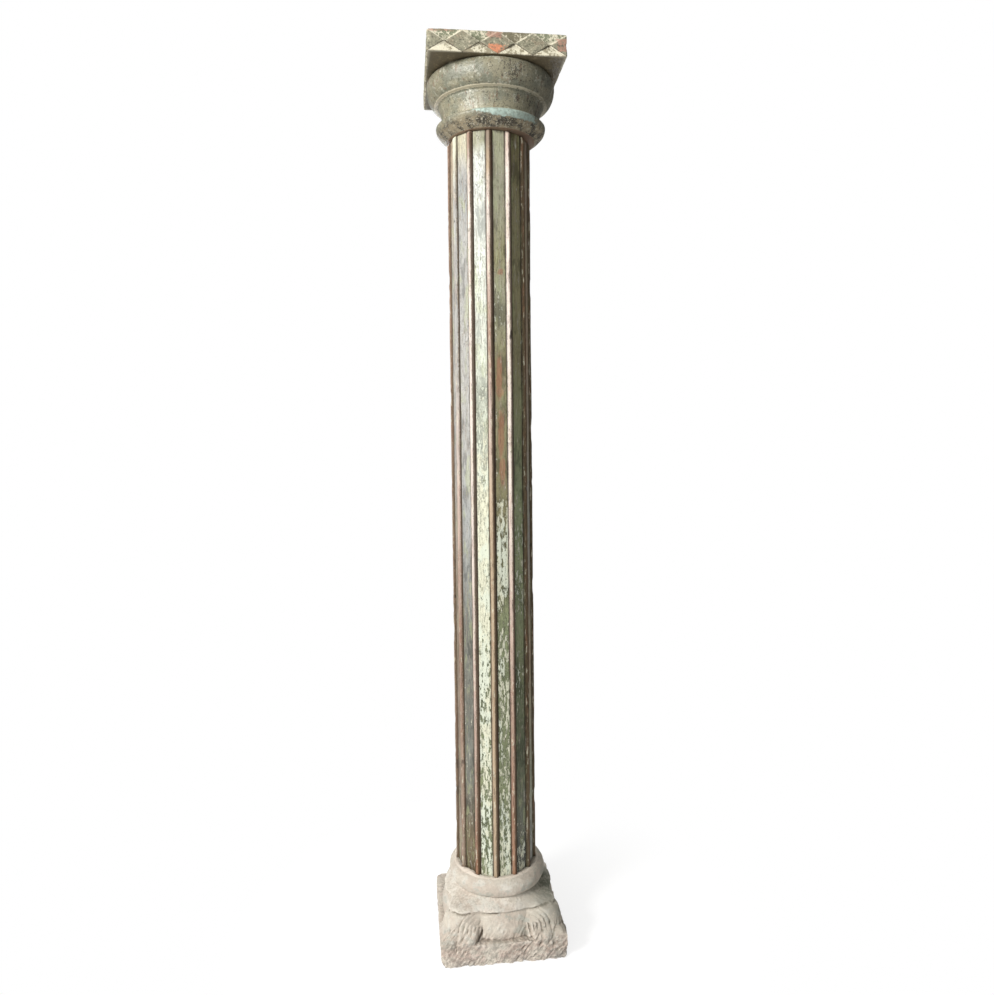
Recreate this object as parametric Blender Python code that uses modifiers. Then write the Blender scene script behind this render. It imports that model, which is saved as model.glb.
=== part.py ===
"""Carved wooden column: a turned and chip-carved capital on a reeded shaft,
standing on a carved stone base with a leaf at each corner.

Metres, +Z up. The origin is the centre of the underside and the front faces -Y.
"""
import math

import bmesh
import bpy
from mathutils import Matrix, Vector

# Joints between the three pieces
CLEARANCE = 0.0003

# How far each piece stands sideways of the column's middle line
BASE_SIDESTEP = -0.0015
SHAFT_SIDESTEP = -0.0045
CAPITAL_SIDESTEP = 0.0015

# Stone base: plinth
PLINTH_WIDTH = 0.323
PLINTH_HEIGHT = 0.055
PLINTH_CORNER_RADIUS = 0.020
# Stone base: drum between the corner leaves, set back from the plinth's faces
DRUM_HEIGHT = 0.070
DRUM_SETBACK = 0.0135
DRUM_TAPER = 0.0110
DRUM_SWELL = 0.0060
# Stone base: worn collar, standing out over the drum's top
COLLAR_HEIGHT = 0.025
COLLAR_OVERHANG = 0.0050
COLLAR_LIP = 0.003
# Stone base: round cushion under the shaft
CUSHION_HEIGHT = 0.0475
CUSHION_RADIUS = 0.1280
CUSHION_WAIST_RADIUS = 0.1180
CUSHION_FALL = 0.62
# Stone base: the seat that takes the shaft's foot
SEAT_DEPTH = 0.005
SEAT_GAP = 0.0008
# Stone base: corner leaves
LEAF_RISE = 0.090
LEAF_SETBACK = 0.0050
LEAF_LEAN = 0.0130
LEAF_HEAD_TUCK = 0.0355
LEAF_CORNER_ROUNDING = 0.0160
LEAF_HEAD_ROUNDING = 0.0440
LEAF_START_DEG = 23.0
LEAF_EDGE_DEG = 1.2
LEAF_EYE_DEG = 27.2
LEAF_EYE_HEIGHT = 0.034
LEAF_RIB_STEP_DEG = 4.4
LEAF_RIB_STEP_HEIGHT = 0.0105
LEAF_RIB_DEPTH = 0.0050
NOTCH_DEPTH = 0.020
NOTCH_DEG = 24.4
NOTCH_HALF_DEG = 1.9
KNOB_SIZE = 0.0085
KNOB_HALF_HEIGHT = 0.028
KNOB_HALF_DEG = 7.0
# Share of each corner leaf that wear has left: back right, back left, front left, front right
LEAF_KEPT = (0.90, 0.15, 0.85, 1.00)

# Shaft, one log: radii are measured over the ribs
SHAFT_LENGTH = 1.8675
SHAFT_FOOT_RADIUS = 0.1075
SHAFT_HEAD_RADIUS = 0.1036
RIB_COUNT = 12
RIB_WIDTH = 0.0165
RIB_HEIGHT = 0.0058
RIB_END_LENGTH = 0.007
RIB_END_SHARE = 0.4
RIB_DRIFT_DEG = 3.0
RIB_PHASE_DEG = -6.0

# Capital, one block: turned bell
BELL_HEIGHT = 0.142
LIP_RADIUS = 0.1075
RING_RADIUS = 0.1365
RING_RISE = 0.032
RING_BEVEL = 0.0065
RING_CREST = 0.0030
NECK_RADIUS = 0.1193
CUP_RADIUS = 0.1290
CUP_RISE = 0.084
CUP_STEP = 0.0030
ECHINUS_RADIUS = 0.1585
ECHINUS_RISE = 0.126
BELL_TOP_RADIUS = 0.1480
# Capital: square abacus with a chip-carved lozenge frieze
ABACUS_WIDTH = 0.323
ABACUS_HEIGHT = 0.048
ABACUS_EDGE = 0.002
LOZENGES_PER_FACE = 4
CHIP_DEPTH = 0.0060
CHIP_LAND = 0.0030

# Widths of the base that follow from its plinth
DRUM_FOOT_RADIUS = PLINTH_WIDTH / 2 - DRUM_SETBACK
DRUM_TOP_RADIUS = DRUM_FOOT_RADIUS - DRUM_TAPER
COLLAR_RADIUS = DRUM_TOP_RADIUS + COLLAR_OVERHANG
LEAF_FOOT_HALF_WIDTH = PLINTH_WIDTH / 2 - LEAF_SETBACK
LEAF_HEAD_HALF_WIDTH = LEAF_FOOT_HALF_WIDTH - LEAF_LEAN - LEAF_HEAD_TUCK
# Heights that follow from the stack
DRUM_TOP_Z = PLINTH_HEIGHT + DRUM_HEIGHT
COLLAR_TOP_Z = DRUM_TOP_Z + COLLAR_HEIGHT
BASE_TOP_Z = COLLAR_TOP_Z + CUSHION_HEIGHT
SEAT_Z = BASE_TOP_Z - SEAT_DEPTH
SHAFT_FOOT_Z = SEAT_Z + CLEARANCE
SHAFT_HEAD_Z = SHAFT_FOOT_Z + SHAFT_LENGTH
CAPITAL_Z = SHAFT_HEAD_Z + CLEARANCE
ABACUS_Z = CAPITAL_Z + BELL_HEIGHT
SEAT_RADIUS = SHAFT_FOOT_RADIUS + SEAT_GAP

# Fineness of the faceted solids
TURNED_STEPS = 56
DRUM_COLUMNS = 5
ARCH_ROWS = 10
COLLAR_ROWS = 4
CUSHION_ROWS = 5
RIB_POINTS = 5


def clear_scene():
    for old in list(bpy.data.objects):
        bpy.data.objects.remove(old, do_unlink=True)


def new_collection(name):
    collection = bpy.data.collections.new(name)
    bpy.context.scene.collection.children.link(collection)
    return collection


def new_material(name, color, roughness):
    material = bpy.data.materials.new(name)
    material.use_nodes = True
    shader = material.node_tree.nodes["Principled BSDF"]
    shader.inputs["Base Color"].default_value = (*color, 1.0)
    shader.inputs["Roughness"].default_value = roughness
    shader.inputs["Metallic"].default_value = 0.0
    return material


def add_object(name, bm, collection, material=None):
    bmesh.ops.recalc_face_normals(bm, faces=bm.faces[:])
    mesh = bpy.data.meshes.new(name)
    bm.to_mesh(mesh)
    bm.free()
    item = bpy.data.objects.new(name, mesh)
    collection.objects.link(item)
    if material:
        mesh.materials.append(material)
    return item


def add_cutter(name, bm, cutters):
    cutter = add_object(name, bm, cutters)
    cutter.hide_render = True
    cutter.display_type = "WIRE"
    return cutter


def smooth_step(low, high, x):
    t = min(max((x - low) / (high - low), 0.0), 1.0)
    return t * t * (3.0 - 2.0 * t)


def blend(a, b, t):
    return a + (b - a) * t


def spaced(low, high, count):
    return [blend(low, high, i / count) for i in range(count + 1)]


def quarter_arc(t, start, end):
    """From start to end as t goes 0 to 1, leaving level and arriving upright."""
    angle = t * math.pi / 2
    return (blend(start[0], end[0], math.sin(angle)), blend(start[1], end[1], 1 - math.cos(angle)))


def loft(rings):
    """A closed solid through rings of equal count, lowest ring first."""
    bm = bmesh.new()
    loops = [[bm.verts.new(point) for point in ring] for ring in rings]
    count = len(rings[0])
    for lower, upper in zip(loops, loops[1:]):
        for i in range(count):
            j = (i + 1) % count
            bm.faces.new((lower[i], lower[j], upper[j], upper[i]))
    bm.faces.new(list(reversed(loops[0])))
    bm.faces.new(loops[-1])
    return bm


def rounded_square_radius(fold, half_width, rounding):
    """Distance from the axis to a rounded square; fold is the angle from a face's middle."""
    centre = half_width - rounding
    along, across = math.cos(fold), math.sin(fold)
    if half_width * math.tan(fold) <= centre:
        return half_width / along
    reach = rounding ** 2 - (centre * (along - across)) ** 2
    return centre * (along + across) + math.sqrt(max(reach, 0.0))


def fold_angle(angle):
    """The angle from the middle of the nearest face, 0 to 45 degrees."""
    quarter = math.pi / 2
    return abs((angle + quarter / 2) % quarter - quarter / 2)


def round_radius(z):
    """The turned forms of the base: drum, collar and cushion."""
    if z < DRUM_TOP_Z:
        t = max(z - PLINTH_HEIGHT, 0.0) / DRUM_HEIGHT
        return blend(DRUM_FOOT_RADIUS, DRUM_TOP_RADIUS, t) + DRUM_SWELL * math.sin(math.pi * t)
    if z < COLLAR_TOP_Z:
        t = max(z - DRUM_TOP_Z - COLLAR_LIP, 0.0) / (COLLAR_HEIGHT - COLLAR_LIP)
        return blend(COLLAR_RADIUS, CUSHION_WAIST_RADIUS, math.sin(t * math.pi / 2) ** 1.5)
    t = (z - COLLAR_TOP_Z) / CUSHION_HEIGHT
    swell = max(1.0 - (2.0 * t - 1.0) ** 2, 0.0) ** CUSHION_FALL
    rim = CUSHION_WAIST_RADIUS if t < 0.5 else SEAT_RADIUS + CLEARANCE
    return blend(rim, CUSHION_RADIUS, swell)


def round_at(_, z):
    return round_radius(z)


def seat_at(_, __):
    return SEAT_RADIUS


def leaf_kept(angle):
    """How much of the leaf is left at the corner nearest to a direction."""
    return LEAF_KEPT[int(math.degrees(angle) % 360.0 // 90.0)]


def leaf_ribs(fold, z):
    """Nested arches round the leaf's eye, upright below it; 0 in a groove, 1 on a rib."""
    across = (math.degrees(fold) - LEAF_EYE_DEG) / LEAF_RIB_STEP_DEG
    above = max(z - PLINTH_HEIGHT - LEAF_EYE_HEIGHT, 0.0) / LEAF_RIB_STEP_HEIGHT
    return 0.5 + 0.5 * math.cos(2 * math.pi * math.hypot(across, above))


def leaf_radius(fold, z):
    """A corner leaf: it leans back as it rises and dies into the collar."""
    rise = min(max(z - PLINTH_HEIGHT, 0.0) / LEAF_RISE, 1.0)
    half_width = LEAF_FOOT_HALF_WIDTH - LEAF_LEAN * rise
    half_width = blend(half_width, LEAF_HEAD_HALF_WIDTH, rise ** 8)
    rounding = blend(LEAF_CORNER_ROUNDING, LEAF_HEAD_ROUNDING, rise)
    body = rounded_square_radius(fold, half_width, rounding)
    return body - LEAF_RIB_DEPTH * (1.0 - leaf_ribs(fold, z)) * (1.0 - rise ** 3)


def knob_swell(fold, z):
    """The leaf's tip, a knob that curls over the plinth's corner."""
    across = (45.0 - math.degrees(fold)) / KNOB_HALF_DEG
    along = (z - PLINTH_HEIGHT) / KNOB_HALF_HEIGHT
    return KNOB_SIZE * math.sqrt(max(1.0 - across ** 2 - along ** 2, 0.0))


def notch(fold, z):
    """The pit under the leaf's hook, next to the drum."""
    across = abs(math.degrees(fold) - NOTCH_DEG) / NOTCH_HALF_DEG
    along = (z - PLINTH_HEIGHT) / LEAF_EYE_HEIGHT
    if along < 0.0 or along > 1.0:
        return 0.0
    return NOTCH_DEPTH * max(1.0 - across - 0.4 * along, 0.0)


def plinth_radius(angle, z):
    fold = fold_angle(angle)
    square = rounded_square_radius(fold, PLINTH_WIDTH / 2, PLINTH_CORNER_RADIUS)
    knob = square + knob_swell(fold, z) * leaf_kept(angle)
    return min(knob, PLINTH_WIDTH / 2 / math.cos(fold))


def carved_radius(angle, z):
    fold = fold_angle(angle)
    turned = round_radius(z)
    share = smooth_step(LEAF_START_DEG - LEAF_EDGE_DEG, LEAF_START_DEG + LEAF_EDGE_DEG, math.degrees(fold))
    leaf = leaf_radius(fold, z) + knob_swell(fold, z)
    leaf = min(leaf, PLINTH_WIDTH / 2 / math.cos(fold))
    share *= 1.0 - smooth_step(0.8, 1.0, (z - PLINTH_HEIGHT) / LEAF_RISE)
    kept = leaf_kept(angle)
    return blend(turned, max(turned, leaf), share * kept) - notch(fold, z) * kept


def base_angles():
    """Columns: few across the drum, two to each rib of the leaves."""
    step = LEAF_RIB_STEP_DEG / 2
    start = LEAF_EYE_DEG - 2 * step
    leaf_side = [start + i * step for i in range(int((45.0 - start) / step) + 1)]
    drum_side = [start * i / DRUM_COLUMNS for i in range(DRUM_COLUMNS)]
    half = drum_side + leaf_side
    face = [-a for a in reversed(half[1:])] + half
    corners = [45.0]
    angles = []
    for quarter in range(4):
        angles += [quarter * 90.0 + a for a in face if abs(a) < 44.0]
        angles += [quarter * 90.0 + a for a in corners]
    return [math.radians(a) for a in angles]


def ring_of(radius_at, angles, z, height=None, sidestep=BASE_SIDESTEP):
    """A ring of the surface radius_at, read at height z, placed at height and moved sideways."""
    place = z if height is None else height
    ring = []
    for angle in angles:
        radius = radius_at(angle, z)
        ring.append((radius * math.cos(angle) + sidestep, radius * math.sin(angle), place))
    return ring


def build_base(collection, material):
    angles = base_angles()
    eye_z = PLINTH_HEIGHT + LEAF_EYE_HEIGHT
    knob_foot = max(PLINTH_HEIGHT - KNOB_HALF_HEIGHT, PLINTH_HEIGHT / 4)
    rings = [ring_of(plinth_radius, angles, 0.0)]
    for z in spaced(knob_foot, PLINTH_HEIGHT, 3):
        rings.append(ring_of(plinth_radius, angles, z))
    for z in spaced(PLINTH_HEIGHT, eye_z, 3) + spaced(eye_z, DRUM_TOP_Z - CLEARANCE, ARCH_ROWS)[1:]:
        rings.append(ring_of(carved_radius, angles, z, z + CLEARANCE))
    for z in spaced(DRUM_TOP_Z, COLLAR_TOP_Z - CLEARANCE, COLLAR_ROWS):
        rings.append(ring_of(carved_radius, angles, z, z + CLEARANCE))
    for z in spaced(COLLAR_TOP_Z, BASE_TOP_Z, CUSHION_ROWS)[1:]:
        lean = blend(BASE_SIDESTEP, SHAFT_SIDESTEP, smooth_step(COLLAR_TOP_Z, BASE_TOP_Z, z))
        rings.append(ring_of(round_at, angles, z, sidestep=lean))
    for z in (BASE_TOP_Z, SEAT_Z):
        rings.append(ring_of(seat_at, angles, z, sidestep=SHAFT_SIDESTEP))
    return add_object("stone_base", loft(rings), collection, material)


def rib_angle(index):
    """Ribs were set out by hand: a little closer at the front than behind."""
    even = 360.0 * index / RIB_COUNT
    drift = RIB_DRIFT_DEG * math.sin(math.radians(even))
    return math.radians(even - drift + RIB_PHASE_DEG - 90.0)


def shaft_section(outer_radius, z, rib_share):
    """Flat facets with a half-round rib on every arris."""
    arris = outer_radius - RIB_HEIGHT
    drop = RIB_WIDTH / 2 * math.tan(math.pi / RIB_COUNT)
    ring = []
    for index in range(RIB_COUNT):
        angle = rib_angle(index)
        outward = Vector((math.cos(angle), math.sin(angle), 0.0))
        sideways = Vector((-math.sin(angle), math.cos(angle), 0.0))
        for i in range(RIB_POINTS + 2):
            turn = math.pi * i / (RIB_POINTS + 1)
            lift = (RIB_HEIGHT + drop) * math.sin(turn) * rib_share - drop
            point = outward * (arris + lift) - sideways * (RIB_WIDTH / 2 * math.cos(turn))
            ring.append(point + Vector((SHAFT_SIDESTEP, 0.0, z)))
    return ring


def build_shaft(collection, material):
    end_z = SHAFT_HEAD_Z - RIB_END_LENGTH
    rings = [
        shaft_section(SHAFT_FOOT_RADIUS, SHAFT_FOOT_Z, 1.0),
        shaft_section(SHAFT_HEAD_RADIUS, end_z, 1.0),
        shaft_section(SHAFT_HEAD_RADIUS, SHAFT_HEAD_Z, RIB_END_SHARE),
    ]
    return add_object("shaft", loft(rings), collection, material)


def bell_profile():
    """Outer side of the turned bell from its top down, as radius and height above its foot."""
    points = [(0.0, BELL_HEIGHT + ABACUS_HEIGHT / 2), (BELL_TOP_RADIUS, BELL_HEIGHT + ABACUS_HEIGHT / 2)]
    top = (BELL_TOP_RADIUS, BELL_HEIGHT)
    echinus = (ECHINUS_RADIUS, ECHINUS_RISE)
    bead = (CUP_RADIUS + CUP_STEP, CUP_RISE)
    cup = (CUP_RADIUS, CUP_RISE - CUP_STEP)
    neck = (NECK_RADIUS, RING_RISE + RING_BEVEL)
    ring = (RING_RADIUS, RING_RISE)
    for i in range(5):
        points.append(quarter_arc(i / 4, top, echinus))
    for i in range(5, -1, -1):
        points.append(quarter_arc(i / 6, bead, echinus))
    for i in range(5):
        t = i / 4
        points.append((blend(cup[0], neck[0], math.sin(t * math.pi / 2)), blend(cup[1], neck[1], t)))
    points.append(((ring[0] + neck[0]) / 2 + RING_CREST, (ring[1] + neck[1]) / 2 + RING_CREST / 3))
    for i in range(4, 0, -1):
        t = i / 4
        points.append((blend(LIP_RADIUS, ring[0], math.sin(t * math.pi / 2)), ring[1] * t))
    points += [(LIP_RADIUS, 0.0), (0.0, 0.0)]
    return points


def turned_solid(name, profile, cutters):
    mesh = bpy.data.meshes.new(name)
    edges = [(i, i + 1) for i in range(len(profile) - 1)]
    mesh.from_pydata([(radius, 0.0, height) for radius, height in profile], edges, [])
    item = bpy.data.objects.new(name, mesh)
    item.location.x = CAPITAL_SIDESTEP
    cutters.objects.link(item)
    item.hide_render = True
    item.display_type = "WIRE"
    screw = item.modifiers.new("turn", "SCREW")
    screw.steps = TURNED_STEPS
    screw.render_steps = TURNED_STEPS
    screw.use_merge_vertices = True
    screw.merge_threshold = 0.00001
    return item


def chip_points(start, end, middle, edge_z, node_z):
    """One chip of the frieze: level with the face at its edge, deepest at its inner point."""
    surface = ABACUS_WIDTH / 2 + CLEARANCE
    floor = ABACUS_WIDTH / 2 - CHIP_DEPTH
    return [
        Vector((start, -surface, edge_z)),
        Vector((end, -surface, edge_z)),
        Vector((middle, -surface, node_z)),
        Vector((middle, -floor, node_z)),
    ]


def build_chips(cutters):
    """All the triangular chips between the lozenges, on the four faces."""
    bm = bmesh.new()
    pitch = ABACUS_WIDTH / LOZENGES_PER_FACE
    land = CHIP_LAND / 2
    centre = ABACUS_Z + ABACUS_HEIGHT / 2
    for side in range(4):
        turn = Matrix.Translation((CAPITAL_SIDESTEP, 0.0, 0.0)) @ Matrix.Rotation(side * math.pi / 2, 4, "Z")
        for i in range(LOZENGES_PER_FACE):
            left = -ABACUS_WIDTH / 2 + i * pitch
            for up in (-1, 1):
                edge_z = centre + up * (ABACUS_HEIGHT / 2 - land)
                node_z = centre + up * land / 4
                points = chip_points(left + land, left + pitch - land, left + pitch / 2, edge_z, node_z)
                corners = [bm.verts.new(turn @ point) for point in points]
                bmesh.ops.convex_hull(bm, input=corners)
    return add_cutter("frieze_chips", bm, cutters)


def add_boolean(target, operand, operation):
    cut = target.modifiers.new(operation.lower(), "BOOLEAN")
    cut.operation = operation
    cut.object = operand
    cut.solver = "EXACT"


def build_capital(collection, cutters, material):
    bm = bmesh.new()
    bmesh.ops.create_cube(bm, size=1.0)
    bmesh.ops.scale(bm, verts=bm.verts[:], vec=(ABACUS_WIDTH, ABACUS_WIDTH, ABACUS_HEIGHT))
    bmesh.ops.translate(bm, verts=bm.verts[:], vec=(CAPITAL_SIDESTEP, 0.0, ABACUS_Z + ABACUS_HEIGHT / 2))
    capital = add_object("capital", bm, collection, material)
    edge = capital.modifiers.new("worn_edges", "BEVEL")
    edge.width = ABACUS_EDGE
    edge.segments = 1
    profile = [(radius, height + CAPITAL_Z) for radius, height in bell_profile()]
    add_boolean(capital, build_chips(cutters), "DIFFERENCE")
    add_boolean(capital, turned_solid("turned_bell", profile, cutters), "UNION")
    return capital


def shade_round(item, angle_deg):
    item.data.shade_smooth()
    item.data.set_sharp_from_angle(angle=math.radians(angle_deg))


def main():
    clear_scene()
    column = new_collection("reeded_column")
    cutters = new_collection("reeded_column_cutters")
    stone = new_material("sandstone", (0.60, 0.52, 0.44), 0.95)
    shaft_paint = new_material("flaking_green_paint", (0.33, 0.34, 0.22), 0.75)
    capital_paint = new_material("olive_painted_wood", (0.24, 0.23, 0.16), 0.60)
    shade_round(build_base(column, stone), 35)
    shade_round(build_shaft(column, shaft_paint), 35)
    build_capital(column, cutters, capital_paint)


main()
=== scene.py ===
"""Looks of the carved wooden column: flaking painted shaft, chip-carved capital and worn stone base.

Each of the three pieces is one closed skin, laid out in rows from its underside up, that
follows the solid of the same piece and carries the finer carving, wear and paint.
"""
import math

import bpy
import numpy as np
from mathutils import Matrix, Vector


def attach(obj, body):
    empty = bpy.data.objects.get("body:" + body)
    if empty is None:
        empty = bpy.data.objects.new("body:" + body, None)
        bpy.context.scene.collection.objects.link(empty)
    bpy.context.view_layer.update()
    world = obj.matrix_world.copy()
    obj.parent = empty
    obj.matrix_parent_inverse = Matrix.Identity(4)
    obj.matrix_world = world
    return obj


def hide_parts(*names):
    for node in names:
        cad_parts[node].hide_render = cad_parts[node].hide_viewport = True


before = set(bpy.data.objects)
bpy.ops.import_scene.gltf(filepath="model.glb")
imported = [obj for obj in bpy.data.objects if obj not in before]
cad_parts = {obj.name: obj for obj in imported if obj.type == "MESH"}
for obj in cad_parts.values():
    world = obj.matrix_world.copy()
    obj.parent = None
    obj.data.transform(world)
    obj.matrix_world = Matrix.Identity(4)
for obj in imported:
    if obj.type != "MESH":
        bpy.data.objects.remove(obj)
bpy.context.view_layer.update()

# Gap between pieces that stand on each other, and how far right of the middle each stands
CLEARANCE = 0.0003
BASE_SIDESTEP = -0.0015
SHAFT_SIDESTEP = -0.0045
CAPITAL_SIDESTEP = 0.0015

# Stone base
PLINTH_WIDTH = 0.323
PLINTH_HEIGHT = 0.055
PLINTH_CORNER_RADIUS = 0.020
DRUM_HEIGHT = 0.070
DRUM_FOOT_RADIUS = PLINTH_WIDTH / 2 - 0.0135
DRUM_TOP_RADIUS = DRUM_FOOT_RADIUS - 0.0110
DRUM_SWELL = 0.0060
COLLAR_HEIGHT = 0.025
COLLAR_RADIUS = DRUM_TOP_RADIUS + 0.0050
COLLAR_LIP = 0.003
CUSHION_HEIGHT = 0.0475
CUSHION_RADIUS = 0.1280
CUSHION_WAIST_RADIUS = 0.1180
CUSHION_FALL = 0.62
SEAT_DEPTH = 0.005
SEAT_GAP = 0.0008
LEAF_RISE = 0.090
LEAF_FOOT_HALF_WIDTH = PLINTH_WIDTH / 2 - 0.0050
LEAF_LEAN = 0.0130
LEAF_HEAD_HALF_WIDTH = LEAF_FOOT_HALF_WIDTH - LEAF_LEAN - 0.0355
LEAF_CORNER_ROUNDING = 0.0160
LEAF_HEAD_ROUNDING = 0.0440
LEAF_START_DEG = 23.0
LEAF_EDGE_DEG = 1.2
LEAF_MELT_DEG = 7.5
LEAF_EYE_HEIGHT = 0.034
NOTCH_DEPTH = 0.020
NOTCH_DEG = 24.4
NOTCH_HALF_DEG = 1.9
KNOB_SIZE = 0.0085
KNOB_HALF_HEIGHT = 0.028
KNOB_HALF_DEG = 7.0
# Share of each corner leaf that wear has left: back right, back left, front left, front right
LEAF_KEPT = (0.90, 0.15, 0.85, 1.00)
LEAF_FLARE = 0.0052
# Arches cut round the eye of each leaf
ARCH_EYE_DEG = 28.0
ARCH_STEP_DEG = 3.0
ARCH_STEP_HEIGHT = 0.0118
ARCH_COUNT = 4.4
ARCH_DEPTH = 0.0062
# Depths of tooling and wear on the stone
CHISEL_DEPTH = 0.0040
BATTERED_DEPTH = 0.0009
SWELLING_DEPTH = 0.0013
PIT_DEPTH = 0.0012
FOOT_BITE_DEPTH = 0.0050
FOOT_ROLL = 0.0022
FOOT_ROLL_HEIGHT = 0.005
LEDGE_DEPTH = 0.0034
UNDERCUT_DEPTH = 0.0042
WORN_TOP_DEPTH = 0.0030
SEAM_DEPTH = 0.0032
KNOB_GROOVE_DEPTH = 0.0026
CLEFT_DEPTH = 0.0080
SHOULDER_DEPTH = 0.0016
MORTAR_HEIGHT = 0.0060
# Where marks on the stone lie, in degrees with the front at 270
RIGHT_LEAF_DEG = 306.0
CLEFT_DEG = 268.5 - LEAF_START_DEG
CLEFT_SLANT_DEG = 100.0
MORTAR_DEG = 222.0
STONE_SHADE_DEG = 342.0
# The face whose tool marks are fainter, and the turn of the fine strokes in radians
LEFT_FACE = 2
STROKE_TURN = -0.9

# Shaft
SHAFT_LENGTH = 1.8675
SHAFT_FOOT_RADIUS = 0.1075
SHAFT_HEAD_RADIUS = 0.1036
RIB_COUNT = 12
RIB_WIDTH = 0.0165
RIB_HEIGHT = 0.0058
RIB_END_LENGTH = 0.007
RIB_END_SHARE = 0.4
RIB_DRIFT_DEG = 3.0
RIB_PHASE_DEG = -6.0
# Share of a rib's width that is its bead; the rest is the quirk on either side
BEAD_SHARE = 0.74
QUIRK_DEPTH = 0.0017
NICK_DEPTH = 0.0016
GNAWED_DEPTH = 0.0035
RIB_SWAY = 0.0007

# Capital
BELL_HEIGHT = 0.142
LIP_RADIUS = 0.1075
RING_RADIUS = 0.1365
RING_RISE = 0.032
RING_BEVEL = 0.0065
RING_CREST = 0.0030
NECK_RADIUS = 0.1193
CUP_RADIUS = 0.1290
CUP_RISE = 0.084
CUP_STEP = 0.0030
ECHINUS_RADIUS = 0.1585
ECHINUS_RISE = 0.126
BELL_TOP_RADIUS = 0.1480
ABACUS_WIDTH = 0.323
ABACUS_HEIGHT = 0.048
LOZENGES_PER_FACE = 4
CHIP_DEPTH = 0.0060
ABACUS_EDGE = 0.0022
ABACUS_CORNER = 0.0035
LOZENGE_GROOVE = 0.0012
WORN_CORNER_DEPTH = 0.0040
# Fine beads and grooves turned on the bell: height above its foot, how far out, half width
FILLETS = (
    (CUP_RISE + 0.0006, 0.0014, 0.0015),
    (CUP_RISE - 0.0040, -0.0012, 0.0013),
    (RING_RISE + RING_BEVEL + 0.0006, -0.0010, 0.0010),
)
# What a row of the capital's skin lies on
ON_BELL, BENEATH, ON_FRIEZE, ON_TOP = 0.0, 1.0, 2.0, 3.0
# Where painted shade on the bell's sides and cup, a stain, the bead's painted highlight and dull paint lie on
# the bell, in degrees with the front at 270
SIDE_SHADE_DEG = 334.0
LEFT_SHADE_DEG = 200.0
STAIN_DEG = 283.0
SHADE_DEG = 306.0
BRIGHT_BEAD_DEG = 244.0
MATTE_FROM_DEG = 262.0

# Heights of the stack
DRUM_TOP_Z = PLINTH_HEIGHT + DRUM_HEIGHT
COLLAR_TOP_Z = DRUM_TOP_Z + COLLAR_HEIGHT
BASE_TOP_Z = COLLAR_TOP_Z + CUSHION_HEIGHT
SEAT_Z = BASE_TOP_Z - SEAT_DEPTH
SHAFT_FOOT_Z = SEAT_Z + CLEARANCE
SHAFT_HEAD_Z = SHAFT_FOOT_Z + SHAFT_LENGTH
CAPITAL_Z = SHAFT_HEAD_Z + CLEARANCE
ABACUS_Z = CAPITAL_Z + BELL_HEIGHT
COLUMN_TOP_Z = ABACUS_Z + ABACUS_HEIGHT
SEAT_RADIUS = SHAFT_FOOT_RADIUS + SEAT_GAP
FRIEZE_Z = ABACUS_Z + ABACUS_HEIGHT / 2
LOZENGE_PITCH = ABACUS_WIDTH / LOZENGES_PER_FACE

# Fineness of the skins
SHAFT_ROW = 0.0052
RIB_COLUMNS = 13
FACET_STATIONS = (0.03, 0.08, 0.17, 0.32, 0.50, 0.68, 0.83, 0.92, 0.97)
BELL_ROW = 0.00165
CAPITAL_COLUMNS = 112
BASE_COLUMNS = 180


def srgb(red, green, blue):
    """A colour as seen on a screen, 0 to 255, as the linear colour that a shader takes."""
    shares = (red / 255.0, green / 255.0, blue / 255.0)
    return tuple(s / 12.92 if s <= 0.04045 else ((s + 0.055) / 1.055) ** 2.4 for s in shares)


# Paints and bare materials
PAINT = {
    "pale_mint": srgb(220, 226, 208),
    "lilac_white": srgb(220, 224, 217),
    "cream": srgb(228, 228, 204),
    "yellow_cream": srgb(196, 190, 166),
    "leaf_green": srgb(142, 150, 116),
    "mid_green": srgb(164, 176, 138),
    "olive": srgb(144, 139, 106),
    "moss": srgb(122, 115, 80),
    "bottle_green": srgb(108, 116, 90),
    "pale_grey": srgb(178, 177, 173),
    "blue_grey": srgb(164, 166, 164),
    "slate": srgb(116, 117, 109),
    "grey_brown": srgb(150, 134, 118),
    "dark_brown": srgb(114, 102, 80),
    "umber": srgb(94, 82, 60),
    "brown_rose": srgb(170, 144, 128),
    "rose": srgb(204, 184, 172),
    "pale_rose": srgb(228, 216, 206),
    "tan": srgb(184, 164, 138),
    "red_brown": srgb(166, 112, 88),
    "grey_green": srgb(166, 166, 142),
    "faded_lime": srgb(176, 182, 140),
    "russet": srgb(150, 114, 90),
    "soot": srgb(46, 40, 32),
}


def smooth(low, high, x):
    t = np.clip((x - low) / (high - low), 0.0, 1.0)
    return t * t * (3.0 - 2.0 * t)


def mix(a, b, t):
    return a + (b - a) * t


def hump(x, centre, reach):
    """1 at centre, falling smoothly to 0 at reach from it."""
    return smooth(1.0, 0.0, np.abs(x - centre) / reach)


def bulge(x, centre, spread):
    """1 at centre, falling off on both sides of it like a bell."""
    return np.exp(-((x - centre) / spread) ** 2)


def hump_towards(direction, centre, reach):
    """A hump about a direction in degrees, whole across the step from 360 to 0."""
    return hump((direction - centre + 180.0) % 360.0, 180.0, reach)


def scatter(cell, seed):
    """A steady random share, 0 to 1, for every whole-numbered cell."""
    word = np.uint64(0xFFFFFFFF)
    h = (cell * np.array([374761393, 668265263, 1274126177])).sum(-1) + seed * 69069
    h = h.astype(np.uint64) & word
    h = ((h ^ (h >> np.uint64(13))) * np.uint64(1103515245)) & word
    h = ((h ^ (h >> np.uint64(16))) * np.uint64(2654435769)) & word
    return (h ^ (h >> np.uint64(15))) / float(0xFFFFFFFF)


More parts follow.
